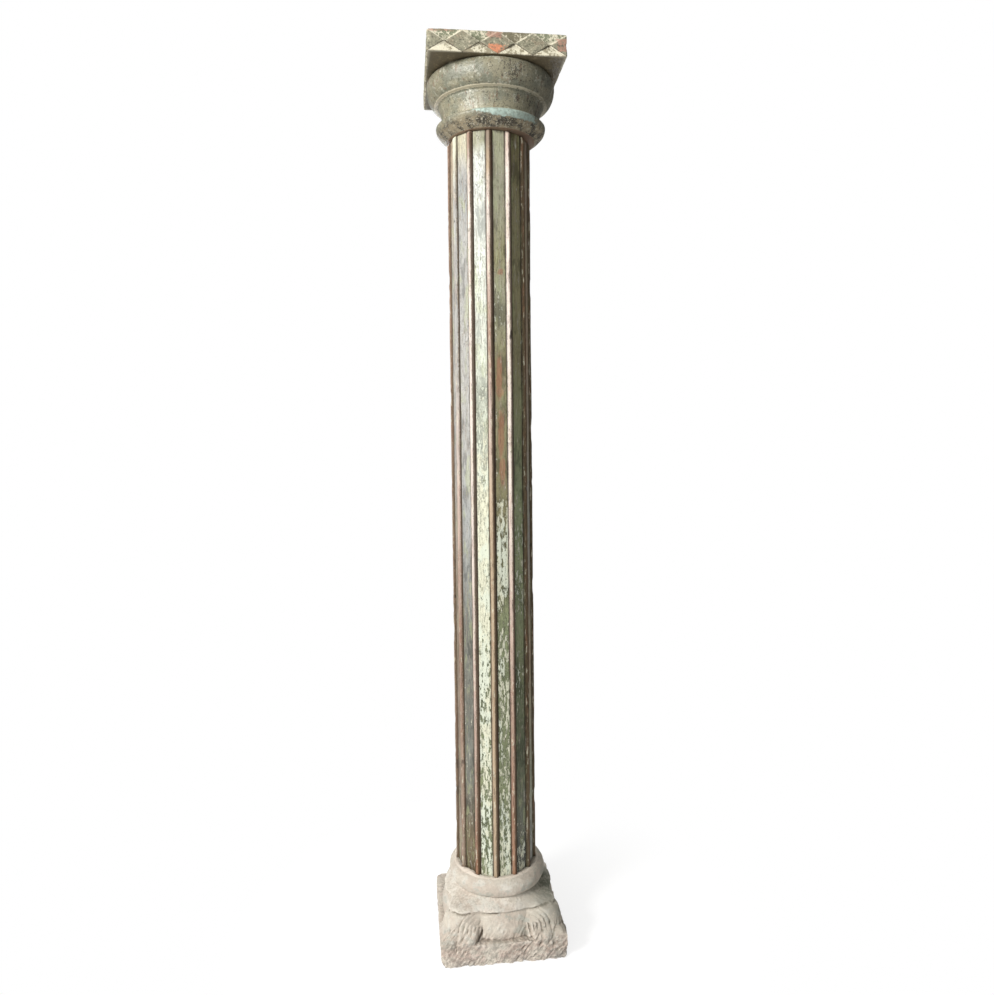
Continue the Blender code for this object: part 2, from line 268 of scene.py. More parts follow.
def lumps(points, size, seed):
    """Smooth noise, 0 to 1, in lumps of the given size, one number or one for each axis."""
    spot = points / np.asarray(size, float)
    cell = np.floor(spot).astype(np.int64)
    f = spot - cell
    f = f * f * (3.0 - 2.0 * f)
    total = np.zeros(points.shape[:-1])
    for corner in range(8):
        step = np.array([corner & 1, corner >> 1 & 1, corner >> 2 & 1])
        weight = np.prod(np.where(step == 1, f, 1.0 - f), axis=-1)
        total += weight * scatter(cell + step, seed)
    return total


def rough(points, size, seed, layers=4):
    """Layered noise around 0, about -1 to 1."""
    total, share, reach = 0.0, 1.0, 0.0
    for layer in range(layers):
        total = total + share * (lumps(points, np.asarray(size, float) / 2 ** layer, seed + layer) - 0.5)
        reach += share
        share *= 0.55
    return total / reach * 3.2


def blurred(field, passes):
    """A field of rows and columns softened; columns run round, rows stop at the ends."""
    for _ in range(passes):
        field = (np.roll(field, 1, 1) + field * 2.0 + np.roll(field, -1, 1)) / 4.0
        padded = np.pad(field, ((1, 1), (0, 0)), mode="edge")
        field = (padded[:-2] + field * 2.0 + padded[2:]) / 4.0
    return field


def closed_skin(name, rows):
    """A closed mesh through rows of points, lowest first, closed by a fan at each end."""
    count, around = rows.shape[:2]
    points = rows.reshape(-1, 3)
    ends = [rows[0].mean(0), rows[-1].mean(0)]
    ends[0][2], ends[1][2] = rows[0, 0, 2], rows[-1, 0, 2]
    points = np.vstack([points, ends])
    index = np.arange(count * around).reshape(count, around)
    after = np.roll(index, -1, 1)
    quads = np.stack([index[:-1], after[:-1], after[1:], index[1:]], -1).reshape(-1, 4)
    foot, head = count * around, count * around + 1
    fans = [(foot, int(b), int(a)) for a, b in zip(index[0], after[0])]
    fans += [(head, int(a), int(b)) for a, b in zip(index[-1], after[-1])]
    mesh = bpy.data.meshes.new(name)
    mesh.from_pydata(points.tolist(), [], quads.tolist() + fans)
    mesh.validate()
    mesh.shade_smooth()
    mesh.set_sharp_from_angle(angle=math.radians(62))
    item = bpy.data.objects.new(name, mesh)
    bpy.context.scene.collection.objects.link(item)
    return item


def note(item, name, field):
    """Keeps a field of rows and columns on the skin, as a number or a colour for each point."""
    ends = np.stack([field[0].mean(0), field[-1].mean(0)])
    if field.ndim == 3:
        values = np.vstack([field.reshape(-1, 3), ends])
        values = np.hstack([values, np.ones((len(values), 1))])
        kept = item.data.attributes.new(name, "FLOAT_COLOR", "POINT")
        kept.data.foreach_set("color", values.ravel())
        return
    kept = item.data.attributes.new(name, "FLOAT", "POINT")
    kept.data.foreach_set("value", np.append(field.ravel(), ends))


class Wire:
    """One output in a material; arithmetic on it adds Math nodes."""

    def __init__(self, finish, socket):
        self.finish = finish
        self.socket = socket

    def maths(self, operation, first, second):
        return self.finish.node("Math", {"operation": operation}, {0: first, 1: second})

    def __add__(self, other):
        return self.maths("ADD", self, other)

    def __radd__(self, other):
        return self.maths("ADD", other, self)

    def __sub__(self, other):
        return self.maths("SUBTRACT", self, other)

    def __rsub__(self, other):
        return self.maths("SUBTRACT", other, self)

    def __mul__(self, other):
        return self.maths("MULTIPLY", self, other)

    def __rmul__(self, other):
        return self.maths("MULTIPLY", other, self)

    def __abs__(self):
        return self.maths("ABSOLUTE", self, 0.0)

    def __gt__(self, other):
        return self.maths("GREATER_THAN", self, other)


class Finish:
    """One material, built up node by node around its Principled shader."""

    def __init__(self, name):
        self.material = bpy.data.materials.new(name)
        self.material.use_nodes = True
        self.tree = self.material.node_tree
        self.shader = self.tree.nodes["Principled BSDF"]
        self.place = self.node("TexCoord", output="Object")

    def node(self, kind, settings=None, inputs=None, output=0):
        made = self.tree.nodes.new("ShaderNode" + kind)
        for name, value in (settings or {}).items():
            setattr(made, name, value)
        for key, value in (inputs or {}).items():
            self.feed(made.inputs[key], value)
        return Wire(self, made.outputs[output])

    def feed(self, socket, value):
        if isinstance(value, Wire):
            self.tree.links.new(value.socket, socket)
        elif socket.type == "RGBA":
            socket.default_value = (*value, 1.0)
        else:
            socket.default_value = value

    def noted(self, name, output="Fac"):
        return self.node("Attribute", {"attribute_name": name}, output=output)

    def speckle(self, per_metre, detail=4.0, roughness=0.55, shift=0.0, place=None):
        """Noise spread to about 0 to 1, with so many lumps a metre along each axis."""
        stretch = self.node("VectorMath", {"operation": "MULTIPLY_ADD"},
                            {0: place or self.place, 1: per_metre, 2: (shift, shift, shift)})
        raw = self.node("TexNoise", {}, {"Vector": stretch, "Scale": 1.0, "Detail": detail,
                                         "Roughness": roughness})
        return self.ramp(raw, 0.28, 0.72, "LINEAR")

    def ramp(self, value, low, high, kind="SMOOTHSTEP"):
        return self.node("MapRange", {"interpolation_type": kind},
                         {"Value": value, "From Min": low, "From Max": high})

    def paint(self, under, over, share):
        """One colour laid over another, as far as share says."""
        return self.node("Mix", {"data_type": "RGBA"}, {0: share, 6: under, 7: over}, output=2)

    def shaded(self, colour, strength):
        """A colour made darker or lighter by a number around 1."""
        grey = self.node("CombineColor", {}, {0: strength, 1: strength, 2: strength})
        return self.node("Mix", {"data_type": "RGBA", "blend_type": "MULTIPLY", "clamp_factor": True},
                         {0: 1.0, 6: colour, 7: grey}, output=2)

    def axes(self):
        split = self.node("SeparateXYZ", {}, {0: self.place})
        return [Wire(self, output) for output in split.socket.node.outputs]

    def relief(self, height, distance, strength=1.0):
        return self.node("Bump", {}, {"Strength": strength, "Distance": distance, "Height": height})

    def done(self, colour, roughness, normal, specular=0.3):
        self.feed(self.shader.inputs["Base Color"], colour)
        self.feed(self.shader.inputs["Roughness"], roughness)
        self.feed(self.shader.inputs["Normal"], normal)
        self.shader.inputs["Specular IOR Level"].default_value = specular
        return self.material


def fold_of(angle):
    """The angle from the middle of the nearest of four faces, signed, and that face's number."""
    quarter = math.pi / 2
    face = np.round(angle / quarter)
    return angle - face * quarter, face.astype(int) % 4


def direction_of(angle):
    """An angle as a direction in degrees, 0 to 360, the front being 270."""
    return np.degrees(angle) % 360.0


def rounded_square_radius(fold, half_width, rounding):
    """Distance from the axis to a rounded square."""
    centre = half_width - rounding
    along, across = np.cos(fold), np.sin(fold)
    reach = np.maximum(rounding ** 2 - (centre * (along - across)) ** 2, 0.0)
    corner = centre * (along + across) + np.sqrt(reach)
    return np.where(half_width * np.tan(fold) <= centre, half_width / along, corner)


def square_columns(per_face):
    """Angles of columns set evenly along the four faces of a square."""
    along = (np.arange(per_face) + 0.5) / per_face * 2.0 - 1.0
    local = np.arctan(along)
    return np.concatenate([local + side * math.pi / 2 for side in range(4)])


# Shaft


def rib_angle(index):
    even = 360.0 * index / RIB_COUNT
    drift = RIB_DRIFT_DEG * math.sin(math.radians(even))
    return math.radians(even - drift + RIB_PHASE_DEG - 90.0)


def rib_frame(index):
    angle = rib_angle(index)
    outward = np.array([math.cos(angle), math.sin(angle)])
    return outward, np.array([-outward[1], outward[0]])


def shaft_columns():
    """Every column of the shaft: where it is for a rib radius of 0, how it moves with that
    radius, how far it is lifted as a rib, which facet or rib it is on and where across it."""
    drop = RIB_WIDTH / 2 * math.tan(math.pi / RIB_COUNT)
    columns = []
    for index in range(RIB_COUNT):
        outward, sideways = rib_frame(index)
        for i in range(RIB_COLUMNS):
            turn = math.pi * i / (RIB_COLUMNS - 1)
            lift = (RIB_HEIGHT + drop) * math.sqrt(max(1.0 - (math.cos(turn) / BEAD_SHARE) ** 2, 0.0))
            place = -outward * (RIB_HEIGHT + drop) - sideways * (RIB_WIDTH / 2 * math.cos(turn))
            columns.append((place, outward, outward, lift, index, 1, -math.cos(turn)))
        after, after_side = rib_frame(index + 1)
        start = -outward * (RIB_HEIGHT + drop) + sideways * RIB_WIDTH / 2
        end = -after * (RIB_HEIGHT + drop) - after_side * RIB_WIDTH / 2
        for station in FACET_STATIONS:
            place = mix(start, end, station)
            out = mix(outward, after, station)
            columns.append((place, out, out / np.linalg.norm(out), 0.0, index, 0, station * 2.0 - 1.0))
    return [np.array(kind) for kind in zip(*columns)]


def shaft_heights():
    foot = SHAFT_FOOT_Z + np.array([0.0, 0.0012, 0.003, 0.006])
    head = SHAFT_HEAD_Z - np.array([0.009, 0.007, 0.005, 0.0035, 0.002, 0.0008, 0.0])
    count = int((head[0] - foot[-1]) / SHAFT_ROW)
    return np.concatenate([foot, np.linspace(foot[-1], head[0], count + 1)[1:-1], head])


# Paint of each facet from the shaft's foot to its head, facet 0 being right of the front rib
FACET_PAINT = {
    0: ((0.0, "leaf_green"), (0.35, "leaf_green"), (0.5, "olive"), (0.72, "olive"), (0.80, "grey_green"),
        (0.86, "olive"), (0.92, "grey_green"), (1.0, "grey_green")),
    1: ((0.0, "slate"), (0.2, "bottle_green"), (0.32, "leaf_green"), (0.48, "mid_green"),
        (0.60, "leaf_green"), (0.72, "olive"), (0.9, "olive"), (1.0, "moss")),
    2: ((0.0, "blue_grey"), (0.15, "grey_green"), (0.3, "tan"), (0.5, "pale_grey"), (0.7, "tan"),
        (1.0, "grey_brown")),
    3: ((0.0, "grey_green"), (0.5, "tan"), (1.0, "mid_green")),
    4: ((0.0, "grey_green"), (0.4, "mid_green"), (1.0, "leaf_green")),
    5: ((0.0, "leaf_green"), (0.5, "olive"), (1.0, "moss")),
    6: ((0.0, "slate"), (0.6, "grey_green"), (1.0, "blue_grey")),
    7: ((0.0, "grey_brown"), (0.5, "olive"), (1.0, "leaf_green")),
    8: ((0.0, "grey_brown"), (0.4, "slate"), (1.0, "grey_brown")),
    9: ((0.0, "grey_brown"), (0.4, "grey_brown"), (0.6, "pale_grey"), (0.8, "pale_grey"), (1.0, "tan")),
    10: ((0.0, "umber"), (0.05, "dark_brown"), (0.14, "slate"), (0.34, "slate"), (0.50, "blue_grey"),
         (0.62, "pale_grey"), (0.86, "pale_grey"), (0.91, "blue_grey"), (0.95, "pale_grey"),
         (1.0, "yellow_cream")),
    11: ((0.0, "leaf_green"), (0.38, "leaf_green"), (0.48, "cream"), (0.62, "pale_mint"),
         (0.93, "lilac_white"), (0.975, "lilac_white"), (1.0, "grey_green")),
}
# Paint of each rib from foot to head, rib 0 being the front one
RIB_PAINT = {
    0: ((0.0, "tan"), (0.5, "tan"), (0.62, "rose"), (0.75, "brown_rose"), (0.82, "rose"), (0.92, "pale_rose"),
        (0.955, "tan"), (1.0, "grey_brown")),
    1: ((0.0, "russet"), (0.2, "brown_rose"), (0.4, "rose"), (0.55, "pale_rose"), (0.96, "pale_rose"),
        (1.0, "rose")),
    2: ((0.0, "dark_brown"), (0.15, "umber"), (1.0, "umber")),
    3: ((0.0, "umber"), (1.0, "dark_brown")),
    9: ((0.0, "grey_brown"), (1.0, "brown_rose")),
    10: ((0.0, "grey_brown"), (0.35, "brown_rose"), (0.55, "rose"), (0.7, "pale_grey"), (0.9, "pale_grey"),
         (1.0, "cream")),
    11: ((0.0, "russet"), (0.10, "brown_rose"), (0.3, "rose"), (0.5, "pale_rose"), (0.95, "pale_rose"),
         (1.0, "brown_rose")),
}
RIB_PAINT_ELSEWHERE = ((0.0, "brown_rose"), (0.5, "tan"), (1.0, "brown_rose"))
# Share of pale flaking paint on each facet from foot to head
FLAKING = {
    0: ((0.0, 0.58), (0.10, 0.50), (0.18, 0.42), (0.25, 0.58), (0.33, 0.44), (0.37, 0.34), (0.40, 0.50),
        (0.42, 0.66), (0.48, 0.66), (0.53, 0.50), (0.55, 0.20), (0.74, 0.14), (0.76, 0.40), (0.79, 0.36),
        (0.82, 0.12), (1.0, 0.16)),
    1: ((0.0, 0.52), (0.05, 0.30), (0.10, 0.14), (0.2, 0.18), (0.27, 0.38), (0.33, 0.24), (0.40, 0.44),
        (0.50, 0.36), (0.58, 0.16), (1.0, 0.12)),
    2: ((0.0, 0.36), (0.1, 0.26), (0.5, 0.20), (1.0, 0.12)),
    9: ((0.0, 0.18), (1.0, 0.20)),
    10: ((0.0, 0.20), (0.4, 0.14), (0.9, 0.12), (1.0, 0.24)),
    11: ((0.0, 0.56), (0.12, 0.58), (0.30, 0.68), (0.42, 0.84), (0.55, 0.66), (0.66, 0.34), (0.80, 0.12),
         (1.0, 0.14)),
}
FLAKING_ELSEWHERE = ((0.0, 0.50), (0.3, 0.35), (0.55, 0.45), (0.75, 0.18), (1.0, 0.15))
# Bare red-brown patches: facet, middle height and half height as shares of the length, place across
RED_PATCHES = (
    (0, 0.610, 0.040, -0.05), (0, 0.685, 0.035, -0.25), (0, 0.665, 0.008, -0.10), (0, 0.825, 0.006, 0.05),
    (0, 0.565, 0.020, 0.10), (4, 0.45, 0.05, 0.2), (6, 0.70, 0.03, -0.3), (7, 0.30, 0.06, 0.1),
)
# Where the painted shade on each rib's right flank starts, from -1 at its left edge to 1 at its right
RIB_SHADE_START = {0: -0.20, 1: -0.46, 2: -0.70, 10: 0.42, 11: 0.10}
RIB_SHADE_START_ELSEWHERE = 0.24


def along_stops(stops, share):
    places = [place for place, _ in stops]
    values = [PAINT[value] if isinstance(value, str) else value for _, value in stops]
    if isinstance(values[0], tuple):
        return np.stack([np.interp(share, places, [v[k] for v in values]) for k in range(3)], -1)
    return np.interp(share, places, values)


def shaft_paint(heights, index, is_rib, across, points):
    """Large areas of paint, and the share of flaking pale paint, worked out by facet and height."""
    share = (heights - SHAFT_FOOT_Z) / SHAFT_LENGTH
    wander = rough(points, (0.05, 0.05, 0.16), 31, 3) * 0.03
    coat = np.zeros(points.shape)
    flakes = np.zeros(points.shape[:2])
    for number in range(RIB_COUNT):
        on_facet = (index == number) & (is_rib == 0)
        on_rib = (index == number) & (is_rib == 1)
        drifted = np.clip(share[:, None] + wander[:, on_facet], 0.0, 1.0)
        coat[:, on_facet] = along_stops(FACET_PAINT[number], drifted)
        flakes[:, on_facet] = along_stops(FLAKING.get(number, FLAKING_ELSEWHERE), drifted)
        drifted = np.clip(share[:, None] + wander[:, on_rib], 0.0, 1.0)
        coat[:, on_rib] = along_stops(RIB_PAINT.get(number, RIB_PAINT_ELSEWHERE), drifted)
        flakes[:, on_rib] = 0.12
    red = np.zeros(points.shape[:2])
    for number, middle, reach, place in RED_PATCHES:
        patch = hump(share[:, None] + wander * 0.3, middle, reach * 1.5) * hump(across[None, :], place, 0.9)
        red = np.maximum(red, patch * ((index == number) & (is_rib == 0)))
    return coat, flakes, red


def build_shaft():
    place, moves, outward, lift, index, is_rib, across = shaft_columns()
    heights = shaft_heights()
    up = (heights - SHAFT_FOOT_Z) / SHAFT_LENGTH
    tapered = np.minimum(up * SHAFT_LENGTH / (SHAFT_LENGTH - RIB_END_LENGTH), 1.0)
    radius = mix(SHAFT_FOOT_RADIUS, SHAFT_HEAD_RADIUS, tapered)
    flat = place[None] + moves[None] * radius[:, None, None]
    level = np.repeat(heights[:, None, None], len(index), 1)
    points = np.concatenate([flat, level], -1)

    apart = np.stack([index * 7.3, np.zeros(len(index)), np.zeros(len(index))], -1)
    rib_spot = apart[None] + level * (0, 0, 1)
    height_share = 0.93 + 0.10 * rough(rib_spot, (1.0, 1.0, 0.11), 3, 3)
    rubbed = 1.0 - 0.24 * smooth(0.25, 0.9, rough(rib_spot, (1.0, 1.0, 0.045), 9, 3))
    end = mix(1.0, RIB_END_SHARE, smooth(SHAFT_HEAD_Z - RIB_END_LENGTH, SHAFT_HEAD_Z, heights))[:, None]
    raised = np.minimum(lift[None] * height_share, RIB_HEIGHT * 1.28 * rubbed) * end
    sideways = np.stack([-outward[:, 1], outward[:, 0]], -1)
    sway = rough(rib_spot, (1.0, 1.0, 0.30), 17, 3) * RIB_SWAY * (is_rib == 1)

    from_foot = 1.0 - np.abs(across)
    near = np.where(is_rib == 1, smooth(0.26, 0.12, from_foot), smooth(0.10, 0.02, from_foot))
    quirk = QUIRK_DEPTH * near * mix(0.6, 1.2, lumps(points, (0.1, 0.1, 0.06), 23))
    planed = rough(points, (0.035, 0.035, 0.40), 5, 2) * 0.0005
    fine = rough(points, (0.008, 0.008, 0.05), 41, 3) * 0.00022
    nicks = smooth(0.78, 0.95, rough(points, (0.020, 0.020, 0.030), 57, 3))
    nicks = nicks * NICK_DEPTH * (0.4 + 0.6 * (is_rib == 1))
    foot_wear = smooth(0.045, 0.0, heights - SHAFT_FOOT_Z)[:, None]
    gnawed = foot_wear * np.maximum(rough(points, (0.03, 0.03, 0.03), 71, 3), 0.0) * GNAWED_DEPTH
    edge = 0.0016 * smooth(0.003, 0.0, heights - SHAFT_FOOT_Z)[:, None]
    edge = edge + 0.0012 * smooth(0.0022, 0.0, SHAFT_HEAD_Z - heights)[:, None]
    push = raised - quirk + planed + fine - nicks - gnawed - edge
    ceiling = np.where(is_rib == 1, lift, 0.0)[None] * end
    push = np.minimum(push, ceiling + 0.0004)
    points[..., :2] += outward[None] * push[..., None] + sideways[None] * sway[..., None]
    points[..., 0] += SHAFT_SIDESTEP

    skin = closed_skin("shaft_painted", points)
    coat, flakes, red = shaft_paint(heights, index, is_rib, across, points)
    # Painted shade lies in the quirks and nicks, and a little towards the foot
    hollow = smooth(0.0, 0.0012, quirk + nicks * 0.6) + foot_wear * 0.15
    note(skin, "coat", coat)
    note(skin, "flakes", flakes)
    note(skin, "red_wood", red)
    note(skin, "rib", np.repeat((is_rib * smooth(0.14, 0.55, from_foot))[None], len(heights), 0))
    note(skin, "hollow", hollow)
    # Painted shade on each rib's right flank, and a painted shadow along the left edge of the facet beside it
    start = np.array([RIB_SHADE_START.get(number, RIB_SHADE_START_ELSEWHERE) for number in range(RIB_COUNT)])[index]
    rib_shade = np.where(is_rib == 1, smooth(start, start + 0.5, across), smooth(-0.80, -0.98, across) * 0.8)
    note(skin, "rib_shade", np.repeat(rib_shade[None], len(heights), 0))
    return skin


def shaft_finish():
    """Layers of old paint over brown wood, flaking in upright streaks, ribs rubbed bare."""
    f = Finish("flaking_paint_on_wood")
    coat = f.noted("coat", "Color")
    flakes, red = f.noted("flakes"), f.noted("red_wood")
    rib, hollow, rib_shade = f.noted("rib"), f.noted("hollow"), f.noted("rib_shade")
    hair = f.speckle((560.0, 560.0, 14.0), 2.0)
    streak = f.speckle((150.0, 150.0, 9.0), 4.0, 0.62, 3.0)
    blotch = f.speckle((32.0, 32.0, 10.0), 4.0, 0.6, 7.0)
    scab = f.speckle((165.0, 165.0, 52.0), 7.0, 0.68, 17.0)
    crumb = f.speckle((420.0, 420.0, 210.0), 4.0, 0.7, 11.0)
    tear = f.speckle((240.0, 240.0, 24.0), 4.0, 0.66, 29.0)

    tone = 0.56 + 0.24 * streak + 0.20 * hair + 0.22 * blotch + 0.12 * crumb
    colour = f.shaded(coat, tone)
    wood = f.shaded(PAINT["grey_brown"], 0.40 + 0.50 * hair + 0.2 * crumb)
    colour = f.paint(colour, wood, f.ramp(tear * 0.55 + scab * 0.45, 0.57, 0.67) * 0.55)
    bloom = f.ramp(streak * 0.4 + scab * 0.35 + tear * 0.25, 0.54, 0.70)
    colour = f.paint(colour, f.shaded(PAINT["pale_grey"], 0.80 + 0.25 * blotch), bloom * 0.28)
    mottled = f.ramp(scab * 0.35 + blotch * 0.55 + crumb * 0.1, 0.48, 0.34)
    colour = f.shaded(colour, 1.0 - 0.40 * mottled)
    tint = f.speckle((64.0, 64.0, 15.0), 4.0, 0.6, 41.0)
    tinted = f.ramp(tint * 0.8 + crumb * 0.2, 0.56, 0.74)
    colour = f.paint(colour, f.shaded(PAINT["faded_lime"], tone), tinted * 0.42)

    left = scab * 0.58 + crumb * 0.12 + streak * 0.14 + tear * 0.16 + (flakes - 0.5) * 0.56
    # Painted shade: the paint is darkened in a ring round each lifted flake
    rim = f.ramp(left, 0.36, 0.49) * f.ramp(flakes, 0.22, 0.40)
    colour = f.shaded(colour, 1.0 - 0.42 * rim)
    pale = f.paint(PAINT["pale_mint"], PAINT["cream"], f.ramp(blotch * 0.7 + scab * 0.3, 0.40, 0.58))
    pale = f.shaded(pale, 0.76 + 0.18 * crumb + 0.14 * streak)
    lifted = f.ramp(left, 0.50, 0.53)
    colour = f.paint(colour, pale, lifted * 0.94)
    red_edge = f.ramp(red + scab * 0.55 + tear * 0.25, 0.66, 1.02)
    colour = f.paint(colour, f.shaded(PAINT["red_brown"], 0.7 + 0.4 * hair + 0.2 * crumb), red_edge * 0.55)
    dirt = f.ramp(scab * 0.35 + crumb * 0.65, 0.62, 0.74)
    colour = f.paint(colour, PAINT["soot"], dirt * 0.42)

    bare = f.shaded(coat, 0.66 + 0.26 * hair + 0.20 * streak)
    ruddy = f.ramp(blotch * 0.4 + tear * 0.6, 0.50, 0.70)
    bare = f.paint(bare, f.shaded(PAINT["red_brown"], 0.9), ruddy * 0.28)
    bare = f.paint(bare, f.shaded(PAINT["cream"], 0.9), f.ramp(scab * 0.5 + tear * 0.5, 0.60, 0.70) * 0.6)
    bare = f.paint(bare, PAINT["soot"], f.ramp(crumb * 0.5 + scab * 0.5, 0.66, 0.78) * 0.5)
    on_rib = f.ramp(rib + (crumb - 0.5) * 0.6, 0.10, 0.40)
    colour = f.paint(colour, bare, on_rib)
    # Painted shade: dark brown on the ribs' right flanks and painted shadow on the facets' left edges
    shadowed = f.ramp(rib_shade + (crumb - 0.5) * 0.5 + (tear - 0.5) * 0.3, 0.25, 0.85)
    colour = f.paint(colour, f.paint(srgb(92, 66, 50), srgb(84, 74, 50), blotch), shadowed * 0.82)

    cracks = f.ramp(abs(tear - 0.5), 0.022, 0.004) * f.ramp(blotch, 0.40, 0.65)
    # Painted shade: soot-dark in the quirks and nicks, a little darker towards the foot
    hollow_shade = f.ramp(hollow + (crumb - 0.5) * 0.3, 0.20, 0.85)
    colour = f.paint(colour, PAINT["soot"], hollow_shade * 0.66)
    colour = f.paint(colour, PAINT["soot"], cracks * 0.62)
    height = lifted * 0.55 + crumb * 0.30 + hair * 0.30 + scab * 0.25 - cracks * 0.8
    roughness = 0.58 + 0.26 * crumb - 0.08 * lifted
    return f.done(colour, roughness, f.relief(height, 0.0012, 0.9))


# Capital


def bell_path():
    """Side of the turned bell from its lip up, as radius and height above the capital's foot."""
    t = np.linspace(0.0, 1.0, 60)
    sine, cosine = np.sin(t * math.pi / 2), np.cos(t * math.pi / 2)
    neck_z = RING_RISE + RING_BEVEL
    cup_z = CUP_RISE - CUP_STEP
    ring = np.stack([mix(LIP_RADIUS, RING_RADIUS, sine), RING_RISE * t], -1)
    crest_radius = (RING_RADIUS + NECK_RADIUS) / 2 + RING_CREST
    crest = np.array([[crest_radius, (RING_RISE + neck_z) / 2 + RING_CREST / 3], [NECK_RADIUS, neck_z]])
    cup = np.stack([mix(NECK_RADIUS, CUP_RADIUS, 1.0 - cosine), mix(neck_z, cup_z, t)], -1)
    bead = np.array([[CUP_RADIUS + CUP_STEP, CUP_RISE]])
    swell = np.stack([mix(bead[0, 0], ECHINUS_RADIUS, sine), mix(CUP_RISE, ECHINUS_RISE, 1.0 - cosine)], -1)
    shoulder = np.stack([mix(BELL_TOP_RADIUS, ECHINUS_RADIUS, cosine),
                         mix(ECHINUS_RISE, BELL_HEIGHT, sine)], -1)
    return np.concatenate([ring, crest, cup[1:], bead, swell[1:], shoulder[1:]])


def evenly(path, step):
    """The same path with points every step along it."""
    legs = np.linalg.norm(np.diff(path, axis=0), axis=1)
    reach = np.concatenate([[0.0], np.cumsum(legs)])
    stations = np.linspace(0.0, reach[-1], int(reach[-1] / step) + 1)
    return np.stack([np.interp(stations, reach, path[:, k]) for k in range(2)], -1)


